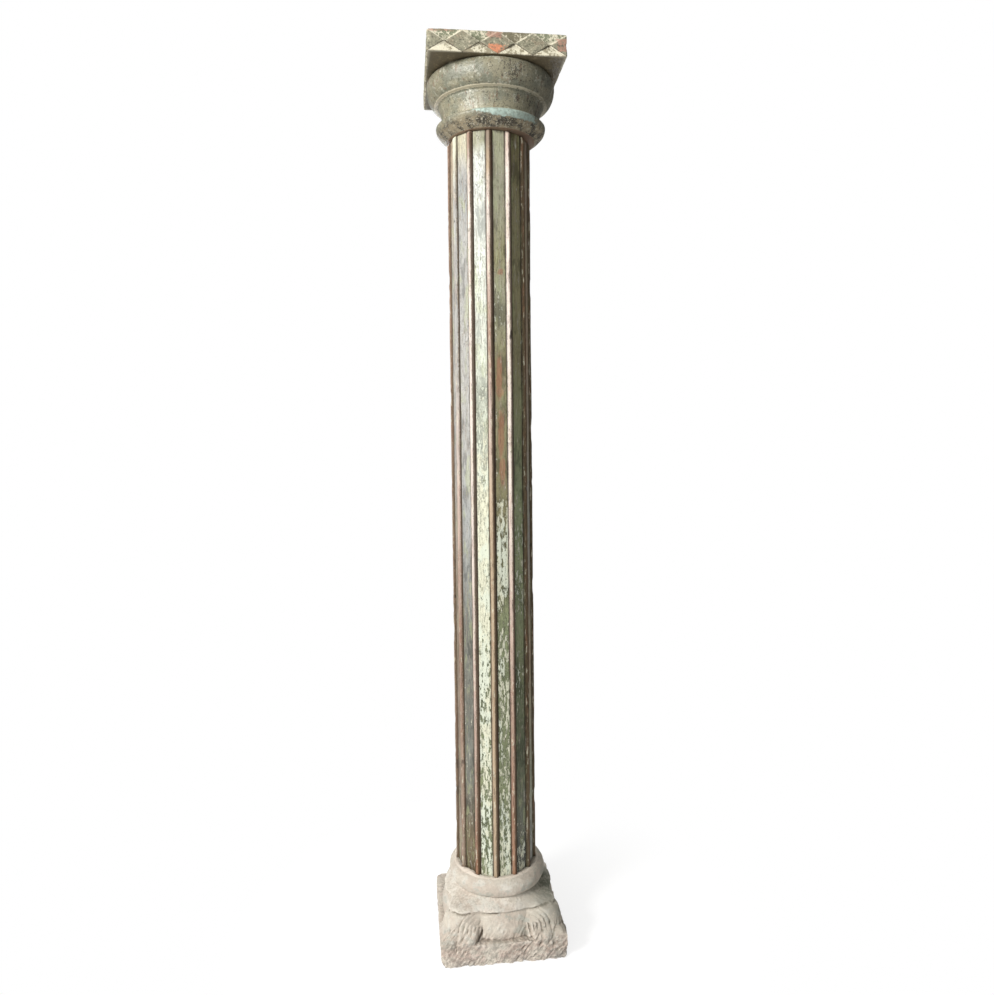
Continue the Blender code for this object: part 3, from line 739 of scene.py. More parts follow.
def build_capital():
    angle = square_columns(CAPITAL_COLUMNS)
    fold = fold_of(angle)[0]
    half = ABACUS_WIDTH / 2
    turned = evenly(bell_path(), BELL_ROW)
    way = turned[:, 1]
    fillet = sum(out * bulge(way, middle, spread) for middle, out, spread in FILLETS)
    bell = [(LIP_RADIUS - 0.012, 0.0), (LIP_RADIUS - 0.004, 0.0)] + list(zip(turned[:, 0] + fillet, way))
    rows = [(np.full(len(angle), radius), rise, ON_BELL) for radius, rise in bell]
    square = rounded_square_radius(np.abs(fold), half - ABACUS_EDGE, ABACUS_CORNER)
    inner = np.full(len(angle), BELL_TOP_RADIUS - 0.0005)
    rows += [(mix(inner, square, share), BELL_HEIGHT, BENEATH) for share in (0.12, 0.35, 0.6, 0.85)]
    by_edge = np.array([0.0, 0.0007, 0.0020])
    between = np.linspace(0.0034, ABACUS_HEIGHT - 0.0034, 36)
    for v in np.concatenate([by_edge, between, ABACUS_HEIGHT - by_edge[::-1]]):
        near = min(v, ABACUS_HEIGHT - v)
        inset = ABACUS_EDGE * (1.0 - math.sqrt(1.0 - (1.0 - min(near / ABACUS_EDGE, 1.0)) ** 2))
        side = rounded_square_radius(np.abs(fold), half - inset, ABACUS_CORNER)
        rows.append((side, BELL_HEIGHT + v, ON_FRIEZE))
    rows += [(square * share, BELL_HEIGHT + ABACUS_HEIGHT, ON_TOP) for share in (0.97, 0.9, 0.75, 0.5, 0.25)]
    radii = np.stack([row[0] for row in rows])
    level = np.repeat(np.array([row[1] for row in rows])[:, None], len(angle), 1) + CAPITAL_Z
    kind = np.array([row[2] for row in rows])[:, None]
    on_bell, on_frieze = kind == ON_BELL, kind == ON_FRIEZE
    points = np.stack([radii * np.cos(angle) + CAPITAL_SIDESTEP, radii * np.sin(angle), level], -1)

    along = half * np.tan(fold)[None]
    spot = along / LOZENGE_PITCH
    s = 2.0 * np.abs(spot - np.floor(spot) - 0.5)
    t = np.abs(level - FRIEZE_Z) / (ABACUS_HEIGHT / 2)
    inside = smooth(0.0, 0.055, t * 0.985 - s)
    chips = CHIP_DEPTH * np.clip(1.0 - t * 1.02, 0.0, 1.0) ** 0.9 * inside
    chips = chips + LOZENGE_GROOVE * smooth(0.10, 0.0, np.abs(t - s)) * smooth(1.0, 0.8, t)
    frieze = on_frieze * smooth(half + 0.0005, half - 0.006, np.abs(along) * 0.999) * chips
    wear = (kind >= ON_FRIEZE) * np.maximum(rough(points, (0.02, 0.02, 0.014), 101, 4), 0.0)
    arris = smooth(0.010, 0.0, ABACUS_HEIGHT / 2 - np.abs(level - FRIEZE_Z))
    arris = arris + smooth(0.012, 0.0, half - np.abs(along))
    worn = wear * (0.0005 + 0.0022 * arris * on_frieze)
    right_front = hump(angle, -math.pi / 4, 0.16)[None] * on_frieze
    worn = worn + WORN_CORNER_DEPTH * right_front * smooth(0.0, 1.0, (level - ABACUS_Z) / ABACUS_HEIGHT)
    tooled = rough(points, (0.05, 0.05, 0.0035), 131, 2) * 0.00022 * on_bell
    dents = smooth(0.55, 0.95, rough(points, 0.022, 151, 3)) * 0.0011 * (kind <= BENEATH)
    waves = rough(points, 0.07, 171, 2) * 0.0006 * on_bell
    under = on_bell * smooth(0.0, 0.004, level - CAPITAL_Z)
    push = -frieze - worn + (tooled - dents + waves) * under
    push = np.where(kind <= BENEATH, push, np.minimum(push, 0.0))
    points[..., 0] += push * np.cos(angle)
    points[..., 1] += push * np.sin(angle)

    skin = closed_skin("capital_carved", points)
    grooves = np.maximum(-fillet_field(fillet, len(angle), len(rows)), 0.0)
    rise = level - CAPITAL_Z
    front = direction_of(angle)
    dips_to = mix(0.031, 0.0180, smooth(242.0, 274.0, front))[None]
    in_band = (smooth(238.0, 250.0, front) * smooth(334.0, 300.0, front))[None]
    band = smooth(dips_to - 0.004, dips_to + 0.004, rise) * in_band
    band = band * smooth(RING_RISE + RING_BEVEL + 0.0045, RING_RISE + RING_BEVEL, rise) * on_bell
    crest = bulge(rise, RING_RISE + RING_BEVEL * 0.62, 0.0022) * on_bell
    bead = bulge(rise, CUP_RISE + 0.0006, 0.0020) * on_bell
    # The bead's pale line: worn paint with a painted highlight, brightest towards the front left
    bead = bead * (0.72 + 0.28 * hump(front, BRIGHT_BEAD_DEG, 80.0))[None]
    stain = hump(front[None], STAIN_DEG, 17.0) * smooth(0.090, 0.104, rise) * smooth(0.141, 0.128, rise)
    shade = hump(front[None], SHADE_DEG, 48.0) * hump(rise, 0.066, 0.026)
    # Painted shade: the bell darkened on its right side, and on its left just under the abacus
    side_shade = hump_towards(front, SIDE_SHADE_DEG, 62.0)[None]
    side_shade = side_shade + 0.38 * hump(front, LEFT_SHADE_DEG, 48.0)[None] * smooth(0.088, 0.100, rise)
    past_front = (front - MATTE_FROM_DEG) % 360.0
    matte = (smooth(0.0, 28.0, past_front) * smooth(190.0, 140.0, past_front))[None]
    marks = {
        "side_shade": side_shade * on_bell,
        "matte": matte * on_bell,
        # How deep the chips, worn corner and grooves are, for painted shade in them
        "deep": np.clip((frieze + worn * 0.5 + grooves * 1.5) / 0.004, 0.0, 1.0),
        "ridge": np.clip(bead + crest * 0.9, 0.0, 1.0),
        "mint": band,
        "nose": smooth(RING_RISE, RING_RISE * 0.4, rise) * smooth(-0.001, 0.002, rise) * on_bell,
        "lip": smooth(0.0022, 0.0006, rise) * on_bell,
        # A real stain, with more dark specks on the cup's right as painted shade
        "stain": np.clip(stain + shade * 0.6, 0.0, 1.0) * on_bell,
        "frieze": on_frieze * np.ones(len(angle)),
        "beneath": (kind == BENEATH) * np.ones(len(angle)),
    }
    for name, field in marks.items():
        note(skin, name, field)
    return skin


def fillet_field(fillet, around, count):
    """The bell's fine fillets as a field over all the capital's rows."""
    field = np.zeros(count)
    field[2:2 + len(fillet)] = fillet
    return np.repeat(field[:, None], around, 1)


def capital_finish():
    """Dull olive paint on the turned bell; grey lozenges with cream and red left in the chips."""
    f = Finish("olive_paint_and_frieze")
    x, y, z = f.axes()
    x = x - CAPITAL_SIDESTEP
    deep, ridge, mint = f.noted("deep"), f.noted("ridge"), f.noted("mint")
    nose, lip, stain = f.noted("nose"), f.noted("lip"), f.noted("stain")
    frieze, beneath = f.noted("frieze"), f.noted("beneath")
    side_shade, matte = f.noted("side_shade"), f.noted("matte")
    cloud = f.speckle((16.0, 16.0, 22.0), 4.0, 0.6)
    patch = f.speckle((42.0, 42.0, 50.0), 5.0, 0.65, 5.0)
    crumb = f.speckle((190.0, 190.0, 210.0), 5.0, 0.7, 9.0)
    streak = f.speckle((120.0, 120.0, 14.0), 4.0, 0.6, 13.0)
    dust = f.speckle((430.0, 430.0, 430.0), 2.0, 0.6, 19.0)

    olive = f.paint(srgb(150, 145, 122), srgb(126, 127, 110), f.ramp(cloud, 0.3, 0.7))
    olive = f.paint(olive, srgb(196, 196, 180), f.ramp(patch * 0.6 + crumb * 0.4, 0.55, 0.70) * 0.55)
    olive = f.shaded(olive, 0.70 + 0.34 * crumb + 0.18 * streak)
    olive = f.paint(olive, srgb(122, 94, 70), f.ramp(patch * 0.45 + streak * 0.55, 0.58, 0.72) * 0.55)
    olive = f.paint(olive, srgb(70, 64, 50), f.ramp(crumb * 0.7 + patch * 0.3, 0.36, 0.26) * 0.65)
    pale_fleck = f.ramp(dust * 0.4 + crumb * 0.6, 0.64, 0.72) * f.ramp(patch, 0.30, 0.65)
    olive = f.paint(olive, srgb(230, 228, 208), pale_fleck * 0.85)
    # Dark specks and a real stain, with more specks on the cup's right as painted shade
    stain_specks_and_shade = f.ramp(streak * 0.25 + crumb * 0.50 + dust * 0.25 + stain * 0.17, 0.60, 0.70)
    olive = f.paint(olive, srgb(48, 44, 36), stain_specks_and_shade * 0.85)
    # Painted shade on the bell's sides
    olive = f.shaded(olive, 1.0 - 0.42 * side_shade)
    # The ring's downward face: black grime and pale dust specks over brown, with painted shade
    dark = f.paint(srgb(150, 138, 114), srgb(46, 40, 32), f.ramp(crumb * 0.5 + patch * 0.5, 0.45, 0.53))
    dark = f.paint(dark, srgb(210, 202, 178), f.ramp(crumb * 0.8 + dust * 0.2, 0.60, 0.67) * 0.8)
    olive = f.paint(olive, dark, nose * 0.92)
    # Pale line on the bead: worn paint and painted highlight, dimmed where the painted side shade lies
    line = f.ramp(ridge + (crumb - 0.5) * 0.7, 0.36, 0.75) * (1.0 - 0.75 * side_shade)
    olive = f.paint(olive, srgb(226, 216, 190), line * 0.9)
    olive = f.paint(olive, srgb(138, 100, 78), f.ramp(lip + (crumb - 0.5) * 0.6, 0.5, 1.0) * 0.6)
    mint_edge = f.ramp(mint + (patch - 0.5) * 0.60 + (crumb - 0.5) * 0.80, 0.42, 0.60)
    # The mint varies at random and is darkened by the painted side shade
    mint_fade_and_shade = (0.66 + 0.42 * crumb) * (1.0 - 0.38 * side_shade)
    worn_mint = mint_edge * (0.60 + 0.34 * f.ramp(crumb, 0.30, 0.55))
    olive = f.paint(olive, f.shaded(srgb(182, 202, 192), mint_fade_and_shade), worn_mint)
    # Painted highlight along the ring's crest where the mint lies
    olive = f.paint(olive, srgb(212, 220, 208), f.ramp(ridge, 0.45, 0.85) * mint_edge * 0.6)
    shadowed = f.shaded(f.paint(srgb(132, 118, 92), srgb(100, 90, 68), cloud), 0.7 + 0.4 * crumb)
    shadowed = f.paint(shadowed, srgb(160, 146, 116), f.ramp(crumb * 0.5 + patch * 0.5, 0.60, 0.72) * 0.6)
    olive = f.paint(olive, shadowed, beneath)

    on_x = abs(x) > abs(y)
    along = on_x * y + (1.0 - on_x) * x
    share = along * (1.0 / LOZENGE_PITCH)
    s = 2.0 * f.node("Math", {"operation": "PINGPONG"}, {0: abs(share + 0.5), 1: 0.5})
    v = (z - FRIEZE_Z) * (2.0 / ABACUS_HEIGHT)
    t = abs(v)
    past = t - s
    ragged = past + (crumb - 0.5) * 0.10
    chip = f.ramp(ragged, 0.0, 0.05)
    below = f.ramp(v, 0.02, -0.02)
    plain = f.paint(srgb(160, 156, 134), srgb(132, 130, 108), cloud)
    plain = f.shaded(plain, 0.50 + 0.62 * crumb + 0.22 * patch)
    plain = f.paint(plain, srgb(112, 88, 70), f.ramp(patch * 0.6 + crumb * 0.4, 0.56, 0.70) * 0.4)
    plain = f.paint(plain, srgb(62, 56, 44), f.ramp(crumb * 0.6 + dust * 0.4, 0.40, 0.30) * 0.6)
    plain = f.paint(plain, srgb(214, 208, 184), f.ramp(dust * 0.4 + crumb * 0.6, 0.64, 0.74) * 0.7)
    cream = f.shaded(srgb(234, 228, 204), 0.74 + 0.30 * crumb)
    green = f.shaded(srgb(134, 138, 112), 0.62 + 0.56 * crumb)
    dull = f.ramp(abs(share - 0.5), 0.52, 0.30)
    upper = f.paint(green, srgb(112, 98, 78), dull * 0.6)
    upper = f.paint(upper, cream, f.ramp(crumb * 0.6 + patch * 0.4 - 0.10 * dull, 0.46, 0.60) * 0.85)
    rubbed = 0.16 * f.ramp(abs(share + 0.5), 0.55, 0.35) + 0.07 * f.ramp(abs(share - 0.5), 0.55, 0.35)
    lower = f.paint(cream, srgb(138, 130, 106), f.ramp(crumb * 0.5 + patch * 0.5 + rubbed, 0.52, 0.62) * 0.9)
    face = f.paint(plain, f.paint(upper, lower, below), chip)
    # Painted highlight: cream lines along the chip edges in the frieze's upper half
    chip_edge_highlight = f.ramp(abs(past + 0.03), 0.120, 0.04) * f.ramp(crumb * 0.5 + patch * 0.5, 0.30, 0.48)
    face = f.paint(face, cream, chip_edge_highlight * f.ramp(v, -0.10, 0.05) * 0.85)
    # Painted shadow: dark lines along the chip edges in the lower half
    chip_edge_shadow = f.ramp(abs(past), 0.050, 0.010) * below
    face = f.paint(face, srgb(62, 52, 40), chip_edge_shadow * 0.75)
    in_front = f.ramp(y, -0.10, -0.13) * (1.0 - on_x)
    centred = f.ramp(abs(share + 0.03), 0.50, 0.06)
    uneven = (crumb - 0.5) * 1.3 + (patch - 0.5) * 0.5 + (dust - 0.5) * 0.5
    orange = f.ramp(centred * f.ramp(v, 0.06, -0.30) * (1.0 - chip) + uneven, 0.40, 1.15)
    face = f.paint(face, f.shaded(srgb(208, 132, 96), 0.66 + 0.56 * crumb), orange * in_front * 0.9)
    rosy = f.ramp(abs(share + 0.10), 0.36, 0.12) * f.ramp(v, 0.20, 0.5)
    rosy = rosy + f.ramp(share, 1.60, 1.75) * f.ramp(t, 0.75, 0.5)
    rosy = rosy + f.ramp(share, -1.0, -1.3) * f.ramp(v, 0.60, 0.85) * 0.9
    rosy = f.ramp(rosy + (crumb - 0.5) * 1.2 + (patch - 0.5) * 0.6, 0.50, 1.05) * in_front
    face = f.paint(face, srgb(168, 122, 106), rosy * 0.75)
    worn_edge = f.ramp(t + (crumb - 0.5) * 0.25, 0.90, 1.02)
    face = f.paint(face, srgb(170, 156, 134), worn_edge * 0.5)
    colour = f.paint(olive, face, frieze)
    # Painted shade: darker in the chips, the worn corner and the turned grooves
    colour = f.paint(colour, srgb(70, 62, 46), f.ramp(deep + (crumb - 0.5) * 0.3, 0.7, 1.3) * 0.5)
    top = f.ramp(z, COLUMN_TOP_Z - 0.0012, COLUMN_TOP_Z - 0.0002)
    sawn = f.shaded(srgb(150, 138, 116), 0.66 + 0.30 * streak + 0.25 * crumb)
    colour = f.paint(colour, sawn, top * 0.9)
    height = crumb * 0.55 + patch * 0.5 + mint_edge * 0.35 + dust * 0.15
    roughness = 0.27 + 0.24 * crumb + 0.32 * frieze + 0.2 * beneath + 0.36 * matte
    return f.done(colour, roughness, f.relief(height, 0.0010, 0.8), 0.55)


# Stone base


def round_radius(z):
    t = np.clip((z - PLINTH_HEIGHT) / DRUM_HEIGHT, 0.0, 1.0)
    drum = mix(DRUM_FOOT_RADIUS, DRUM_TOP_RADIUS, t) + DRUM_SWELL * np.sin(math.pi * t)
    c = np.clip((z - DRUM_TOP_Z - COLLAR_LIP) / (COLLAR_HEIGHT - COLLAR_LIP), 0.0, 1.0)
    collar = mix(COLLAR_RADIUS, CUSHION_WAIST_RADIUS, np.sin(c * math.pi / 2) ** 1.5)
    q = np.clip((z - COLLAR_TOP_Z) / CUSHION_HEIGHT, 0.0, 1.0)
    swell = np.maximum(1.0 - (2.0 * q - 1.0) ** 2, 0.0) ** CUSHION_FALL
    cushion = mix(np.where(q < 0.5, CUSHION_WAIST_RADIUS, SEAT_RADIUS + CLEARANCE), CUSHION_RADIUS, swell)
    return np.where(z < DRUM_TOP_Z, drum, np.where(z < COLLAR_TOP_Z, collar, cushion))


def leaf_arches(fold, z):
    """Nested arches round the leaf's eye: 1 in a groove, 0 on a rib and outside the arches."""
    across = (np.degrees(fold) - ARCH_EYE_DEG) / ARCH_STEP_DEG
    above = z - PLINTH_HEIGHT - LEAF_EYE_HEIGHT
    ring = np.hypot(across, np.maximum(above, 0.0) / ARCH_STEP_HEIGHT)
    groove = 1.0 - np.abs(np.cos(math.pi * ring)) ** 0.7
    return groove * smooth(-0.020, -0.002, above) * smooth(ARCH_COUNT, ARCH_COUNT - 0.8, ring)


def leaf_radius(fold, z):
    rise = np.clip((z - PLINTH_HEIGHT) / LEAF_RISE, 0.0, 1.0)
    half_width = LEAF_FOOT_HALF_WIDTH + LEAF_FLARE * smooth(0.34, 0.0, rise) - LEAF_LEAN * rise
    half_width = mix(half_width, LEAF_HEAD_HALF_WIDTH, rise ** 8)
    rounding = mix(LEAF_CORNER_ROUNDING, LEAF_HEAD_ROUNDING, rise)
    body = rounded_square_radius(fold, half_width, rounding)
    return body - ARCH_DEPTH * leaf_arches(fold, z) * (1.0 - rise ** 3)


def knob_swell(fold, z):
    across = (45.0 - np.degrees(fold)) / KNOB_HALF_DEG
    along = (z - PLINTH_HEIGHT) / KNOB_HALF_HEIGHT
    return KNOB_SIZE * np.sqrt(np.maximum(1.0 - across ** 2 - along ** 2, 0.0))


def notch(fold, z):
    across = np.abs(np.degrees(fold) - NOTCH_DEG) / NOTCH_HALF_DEG
    along = (z - PLINTH_HEIGHT) / LEAF_EYE_HEIGHT
    pit = NOTCH_DEPTH * np.maximum(1.0 - across - 0.4 * along, 0.0)
    return np.where((along < 0.0) | (along > 1.0), 0.0, pit)


def leaf_kept(angle):
    """The share of its corner leaf that wear has left, for each angle."""
    return np.array(LEAF_KEPT)[(direction_of(angle) // 90.0).astype(int)]


def base_form(angle, z, carved):
    """Radius of the carved base at a height: plinth below, drum and leaves above."""
    fold = np.abs(fold_of(angle)[0])
    kept = leaf_kept(angle)
    limit = PLINTH_WIDTH / 2 / np.cos(fold)
    if not carved:
        square = rounded_square_radius(fold, PLINTH_WIDTH / 2, PLINTH_CORNER_RADIUS)
        return np.minimum(square + knob_swell(fold, z) * kept, limit)
    turned = round_radius(z)
    rise = (z - PLINTH_HEIGHT) / LEAF_RISE
    start = LEAF_START_DEG - LEAF_EDGE_DEG
    melt = mix(LEAF_EDGE_DEG, LEAF_MELT_DEG, smooth(0.30, 0.66, rise))
    share = smooth(start, start + 2.0 * melt, np.degrees(fold))
    kept = np.where(kept > 0.5, mix(kept, 1.0, smooth(0.34, 0.0, rise)), kept)
    share = share * (1.0 - smooth(0.8, 1.0, rise)) * kept
    leaf = np.minimum(leaf_radius(fold, z) + knob_swell(fold, z), limit)
    return mix(turned, np.maximum(turned, leaf), share) - notch(fold, z) * kept


def shaft_outline(angle):
    """Distance from the shaft's axis to its outside, ribs and all, at the foot."""
    place, moves, outward, lift = shaft_columns()[:4]
    outside = place + moves * SHAFT_FOOT_RADIUS + outward * lift[:, None]
    turn = np.arctan2(outside[:, 1], outside[:, 0])
    order = np.argsort(turn)
    return np.interp(angle, turn[order], np.linalg.norm(outside, axis=1)[order], period=2.0 * math.pi)


def build_base():
    angle = square_columns(BASE_COLUMNS)
    fold, face = fold_of(angle)
    plan = [(z, False, z) for z in (0.0, 0.0006, 0.0016, 0.003, 0.005)]
    plan += [(z, False, z) for z in np.linspace(0.0072, PLINTH_HEIGHT - 0.0012, 22)]
    plan += [(PLINTH_HEIGHT, False, PLINTH_HEIGHT - 0.0002)]
    plan += [(z, True, z + CLEARANCE) for z in np.linspace(PLINTH_HEIGHT, DRUM_TOP_Z - CLEARANCE, 40)]
    plan += [(z, True, z + CLEARANCE) for z in np.linspace(DRUM_TOP_Z, COLLAR_TOP_Z - CLEARANCE, 18)]
    round_up = (1.0 - np.cos(np.linspace(0.12, math.pi, 26))) / 2
    plan += [(z, True, z) for z in COLLAR_TOP_Z + CUSHION_HEIGHT * round_up]
    body = len(plan)
    radii = [base_form(angle, z, carved) for z, carved, _ in plan]
    snug = shaft_outline(angle) + 0.0006
    seat = [(mix(radii[-1], snug, 0.5), BASE_TOP_Z - 0.0003), (snug, BASE_TOP_Z - 0.0012), (snug, SEAT_Z),
            (snug * 0.6, SEAT_Z)]
    radii = np.stack(radii + [radius for radius, _ in seat])
    level = np.array([row[2] for row in plan] + [height for _, height in seat])
    level = np.repeat(level[:, None], len(angle), 1)
    points = np.stack([radii * np.cos(angle), radii * np.sin(angle), level], -1)
    flat = points * (1, 1, 0)
    front = direction_of(angle)
    shift = mix(BASE_SIDESTEP, SHAFT_SIDESTEP, smooth(COLLAR_TOP_Z, BASE_TOP_Z, level))
    outside = (np.arange(len(radii)) < body)[:, None]
    plinth = (level < PLINTH_HEIGHT) & outside
    turned = (level >= PLINTH_HEIGHT) & outside

    along = PLINTH_WIDTH / 2 * np.tan(fold)[None]
    across_stroke = along * 0.80 - level * 0.60 + face[None] * 3.1
    stroke = np.stack([across_stroke, along * 0.6 + level * 0.8, level * 0.0], -1)
    chisel = rough(stroke, (0.0066, 0.030, 1.0), 203, 2) * mix(0.4, 1.5, lumps(points, 0.04, 207))
    leafy = smooth(LEAF_START_DEG - 2.0, LEAF_START_DEG + 2.0, np.degrees(np.abs(fold)))[None]
    low = smooth(DRUM_TOP_Z, PLINTH_HEIGHT, level)
    tooled = np.where(plinth, 1.0, np.where(turned, low * mix(0.30, 1.0, leafy), 0.0))
    cut = CHISEL_DEPTH * chisel * tooled * np.where(face == LEFT_FACE, 0.45, 1.0)[None]
    battered = rough(points, 0.016, 221, 4)
    swelling = rough(points, 0.06, 231, 3)
    pits = smooth(0.50, 0.95, rough(points, 0.010, 241, 3))
    foot_bite = np.maximum(rough(flat, 0.020, 251, 4), 0.0) * smooth(0.014, 0.0, level) * outside
    roll = 1.0 - np.clip(level / FOOT_ROLL_HEIGHT, 0.0, 1.0)
    rolled = FOOT_ROLL * (1.0 - np.sqrt(np.clip(1.0 - roll ** 2, 0.0, 1.0))) * outside
    push = cut + BATTERED_DEPTH * battered + SWELLING_DEPTH * swelling
    push = push - PIT_DEPTH * pits - FOOT_BITE_DEPTH * foot_bite - rolled

    over_leaf = hump(front, RIGHT_LEAF_DEG, 17.0)[None]
    wander = 0.0040 * rough(flat, 0.05, 261, 3) + 0.0085 * smooth(292.0, 314.0, front)[None] * over_leaf
    lip_level = level - DRUM_TOP_Z - wander
    crisp = mix(0.35, 1.25, smooth(-0.5, 0.6, rough(flat, 0.035, 263, 3)))
    crisp = np.maximum(crisp, 1.5 * over_leaf)
    ledge = LEDGE_DEPTH * crisp * bulge(lip_level, 0.0050, 0.0036)
    undercut = UNDERCUT_DEPTH * crisp * bulge(lip_level, -0.0035, 0.0030)
    worn_top = WORN_TOP_DEPTH * smooth(0.0, 0.8, rough(points, (0.045, 0.045, 0.03), 265, 3))
    worn_top = worn_top * hump(lip_level, 0.016, 0.012)
    push = push + (ledge - undercut - worn_top) * turned
    seam = bulge(level, COLLAR_TOP_Z + 0.0004, 0.0020)
    beside_knob = bulge(np.abs(np.degrees(fold)), 45.0 - KNOB_HALF_DEG, 0.8) * leaf_kept(angle)
    beside_knob = beside_knob[None] * hump(level, 0.050, 0.036)
    cleft_at = CLEFT_DEG + CLEFT_SLANT_DEG * (level - PLINTH_HEIGHT)
    cleft = bulge(front[None], cleft_at, 1.2) * hump(level, PLINTH_HEIGHT + 0.014, 0.024) * outside
    push = push - (SEAM_DEPTH * seam + KNOB_GROOVE_DEPTH * beside_knob + CLEFT_DEPTH * cleft) * outside
    shoulder = plinth * smooth(PLINTH_HEIGHT - 0.006, PLINTH_HEIGHT, level) * (1.0 - leafy)
    push = push - SHOULDER_DEPTH * shoulder * (1.0 + battered)
    limit = PLINTH_WIDTH / 2 / np.cos(fold)[None] - radii
    push = np.where(outside, np.minimum(push, np.maximum(limit, 0.0)), 0.0)
    rim = hump(level, BASE_TOP_Z, 0.004)
    push = push * (1.0 - 0.7 * rim)
    points[..., 0] += push * np.cos(angle) + shift
    points[..., 1] += push * np.sin(angle)

    mortar = hump(front, MORTAR_DEG, 34.0)[None] * (0.5 + 0.5 * rough(points, 0.012, 271, 3))
    mortar_rows = np.zeros(len(radii))
    mortar_rows[body - 3:body + 2] = (0.25, 0.7, 1.0, 1.0, 1.0)
    mortar = np.clip(mortar, 0.0, 1.0) * mortar_rows[:, None]
    points[..., 2] += MORTAR_HEIGHT * mortar

    skin = closed_skin("base_carved", points)
    # The relief's hollows and ridges carry painted shade and painted highlight
    relief = push + np.where(turned, radii - blurred(radii, 6), 0.0)
    relief = relief - blurred(relief, 5)
    on_cushion = smooth(COLLAR_TOP_Z - 0.002, COLLAR_TOP_Z + 0.006, level)
    # Painted shade on the stone's right side, lighter on the cushion
    stone_side_shade = hump_towards(front, STONE_SHADE_DEG, 68.0)[None] * smooth(0.050, 0.080, level)
    marks = {
        "hollow": blurred(np.clip(-relief / 0.0012, 0.0, 1.0), 1),
        "ridge": blurred(np.clip(relief / 0.0010, 0.0, 1.0), 1),
        "rim": rim * outside + mortar,
        "stone_side_shade": stone_side_shade * mix(1.0, 0.6, on_cushion),
        "cleft": cleft,
        "seat": (np.arange(len(radii)) > body + 1)[:, None] * np.ones(len(angle)),
    }
    for name, field in marks.items():
        note(skin, name, field)
    return skin


def stone_finish():
    """Pinkish-beige sandstone, tooled and worn, with painted shade in its hollows and painted highlight on
    its ridges.
    """
    f = Finish("worn_pink_sandstone")
    x, _, z = f.axes()
    hollow, ridge, rim = f.noted("hollow"), f.noted("ridge"), f.noted("rim")
    seat, stone_side_shade, cleft = f.noted("seat"), f.noted("stone_side_shade"), f.noted("cleft")
    cloud = f.speckle((9.0, 9.0, 13.0), 4.0, 0.6)
    patch = f.speckle((34.0, 34.0, 46.0), 5.0, 0.65, 4.0)
    crumb = f.speckle((160.0, 160.0, 160.0), 5.0, 0.7, 8.0)
    grit = f.speckle((620.0, 620.0, 620.0), 3.0, 0.7, 15.0)
    turned = f.node("VectorRotate", {"rotation_type": "AXIS_ANGLE"},
                    {"Vector": f.place, "Axis": (0.7, 0.7, 0.0), "Angle": STROKE_TURN})
    stroke = f.speckle((150.0, 150.0, 34.0), 4.0, 0.6, 21.0, turned)
    stone = f.paint(srgb(220, 212, 198), srgb(212, 200, 186), f.ramp(cloud, 0.3, 0.7))
    stone = f.paint(stone, srgb(232, 228, 218), f.ramp(patch, 0.52, 0.75) * 0.7)
    pink = f.ramp(patch * 0.7 + cloud * 0.3, 0.36, 0.66) * f.ramp(z, 0.085, 0.03)
    stone = f.paint(stone, srgb(208, 182, 168), pink * 0.75)
    stone = f.paint(stone, srgb(172, 174, 162), f.ramp(cloud * 0.5 + patch * 0.5, 0.58, 0.72) * 0.5)
    stone = f.shaded(stone, 0.71 + 0.18 * crumb + 0.14 * grit + 0.08 * stroke)
    collar = f.ramp(z, 0.122, 0.130) * f.ramp(z, 0.153, 0.146)
    bleached = collar * f.ramp(patch * 0.5 + crumb * 0.5, 0.30, 0.60)
    # The pale collar is kept off the painted shade on the right side
    stone = f.paint(stone, srgb(240, 234, 224), bleached * (0.5 - 0.5 * stone_side_shade))
    # Painted shade and highlight on the low stone's chisel strokes: darker in their troughs, paler on their
    # crests
    rugged = f.ramp(z, 0.075, 0.050) * (1.0 - 0.6 * f.ramp(x, -0.148, -0.157))
    stone = f.shaded(stone, 1.0 - 0.26 * rugged * f.ramp(stroke, 0.55, 0.30) - 0.04 * rugged)
    stone = f.paint(stone, srgb(240, 230, 216), rugged * f.ramp(stroke, 0.60, 0.80) * 0.5)
    # Painted highlight on raised relief, painted shade in the hollows
    stone = f.paint(stone, srgb(236, 230, 218), f.ramp(ridge + (crumb - 0.5) * 0.7, 0.40, 1.0) * 0.60)
    stone = f.paint(stone, srgb(108, 100, 86), f.ramp(hollow + (crumb - 0.5) * 0.6, 0.30, 1.0) * 0.70)
    stone = f.paint(stone, srgb(238, 226, 212), f.ramp(rim + (crumb - 0.5) * 0.6, 0.40, 0.80) * 0.7)
    damp = f.ramp(z, 0.030, 0.0) * f.ramp(patch * 0.5 + cloud * 0.5, 0.42, 0.60)
    stone = f.paint(stone, srgb(138, 142, 138), damp * 0.6)
    # Painted shade: greenish grey on the stone's right side
    grey_side_shade = stone_side_shade * (0.55 + 0.45 * f.ramp(patch * 0.6 + crumb * 0.4, 0.35, 0.60) + 0.35 * collar)
    stone = f.paint(stone, srgb(106, 108, 94), grey_side_shade * 0.78)
    # Painted shade in the depth of the cleft
    in_cleft = f.ramp(cleft + (crumb - 0.5) * 0.4, 0.30, 0.80)
    stone = f.paint(stone, srgb(86, 74, 60), in_cleft * 0.85)
    # Painted shade inside the socket under the shaft
    stone = f.shaded(stone, 1.0 - 0.6 * seat)
    height = crumb * (0.8 - 0.4 * rugged) + grit * 0.3 + patch * 0.6 + stroke * (0.5 + 1.6 * rugged)
    return f.done(stone, 0.88 + 0.08 * crumb, f.relief(height, 0.0024, 0.9), 0.2)


def dress(piece, node, finish):
    piece.data.materials.append(finish)
    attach(piece, "root")
    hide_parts(node)


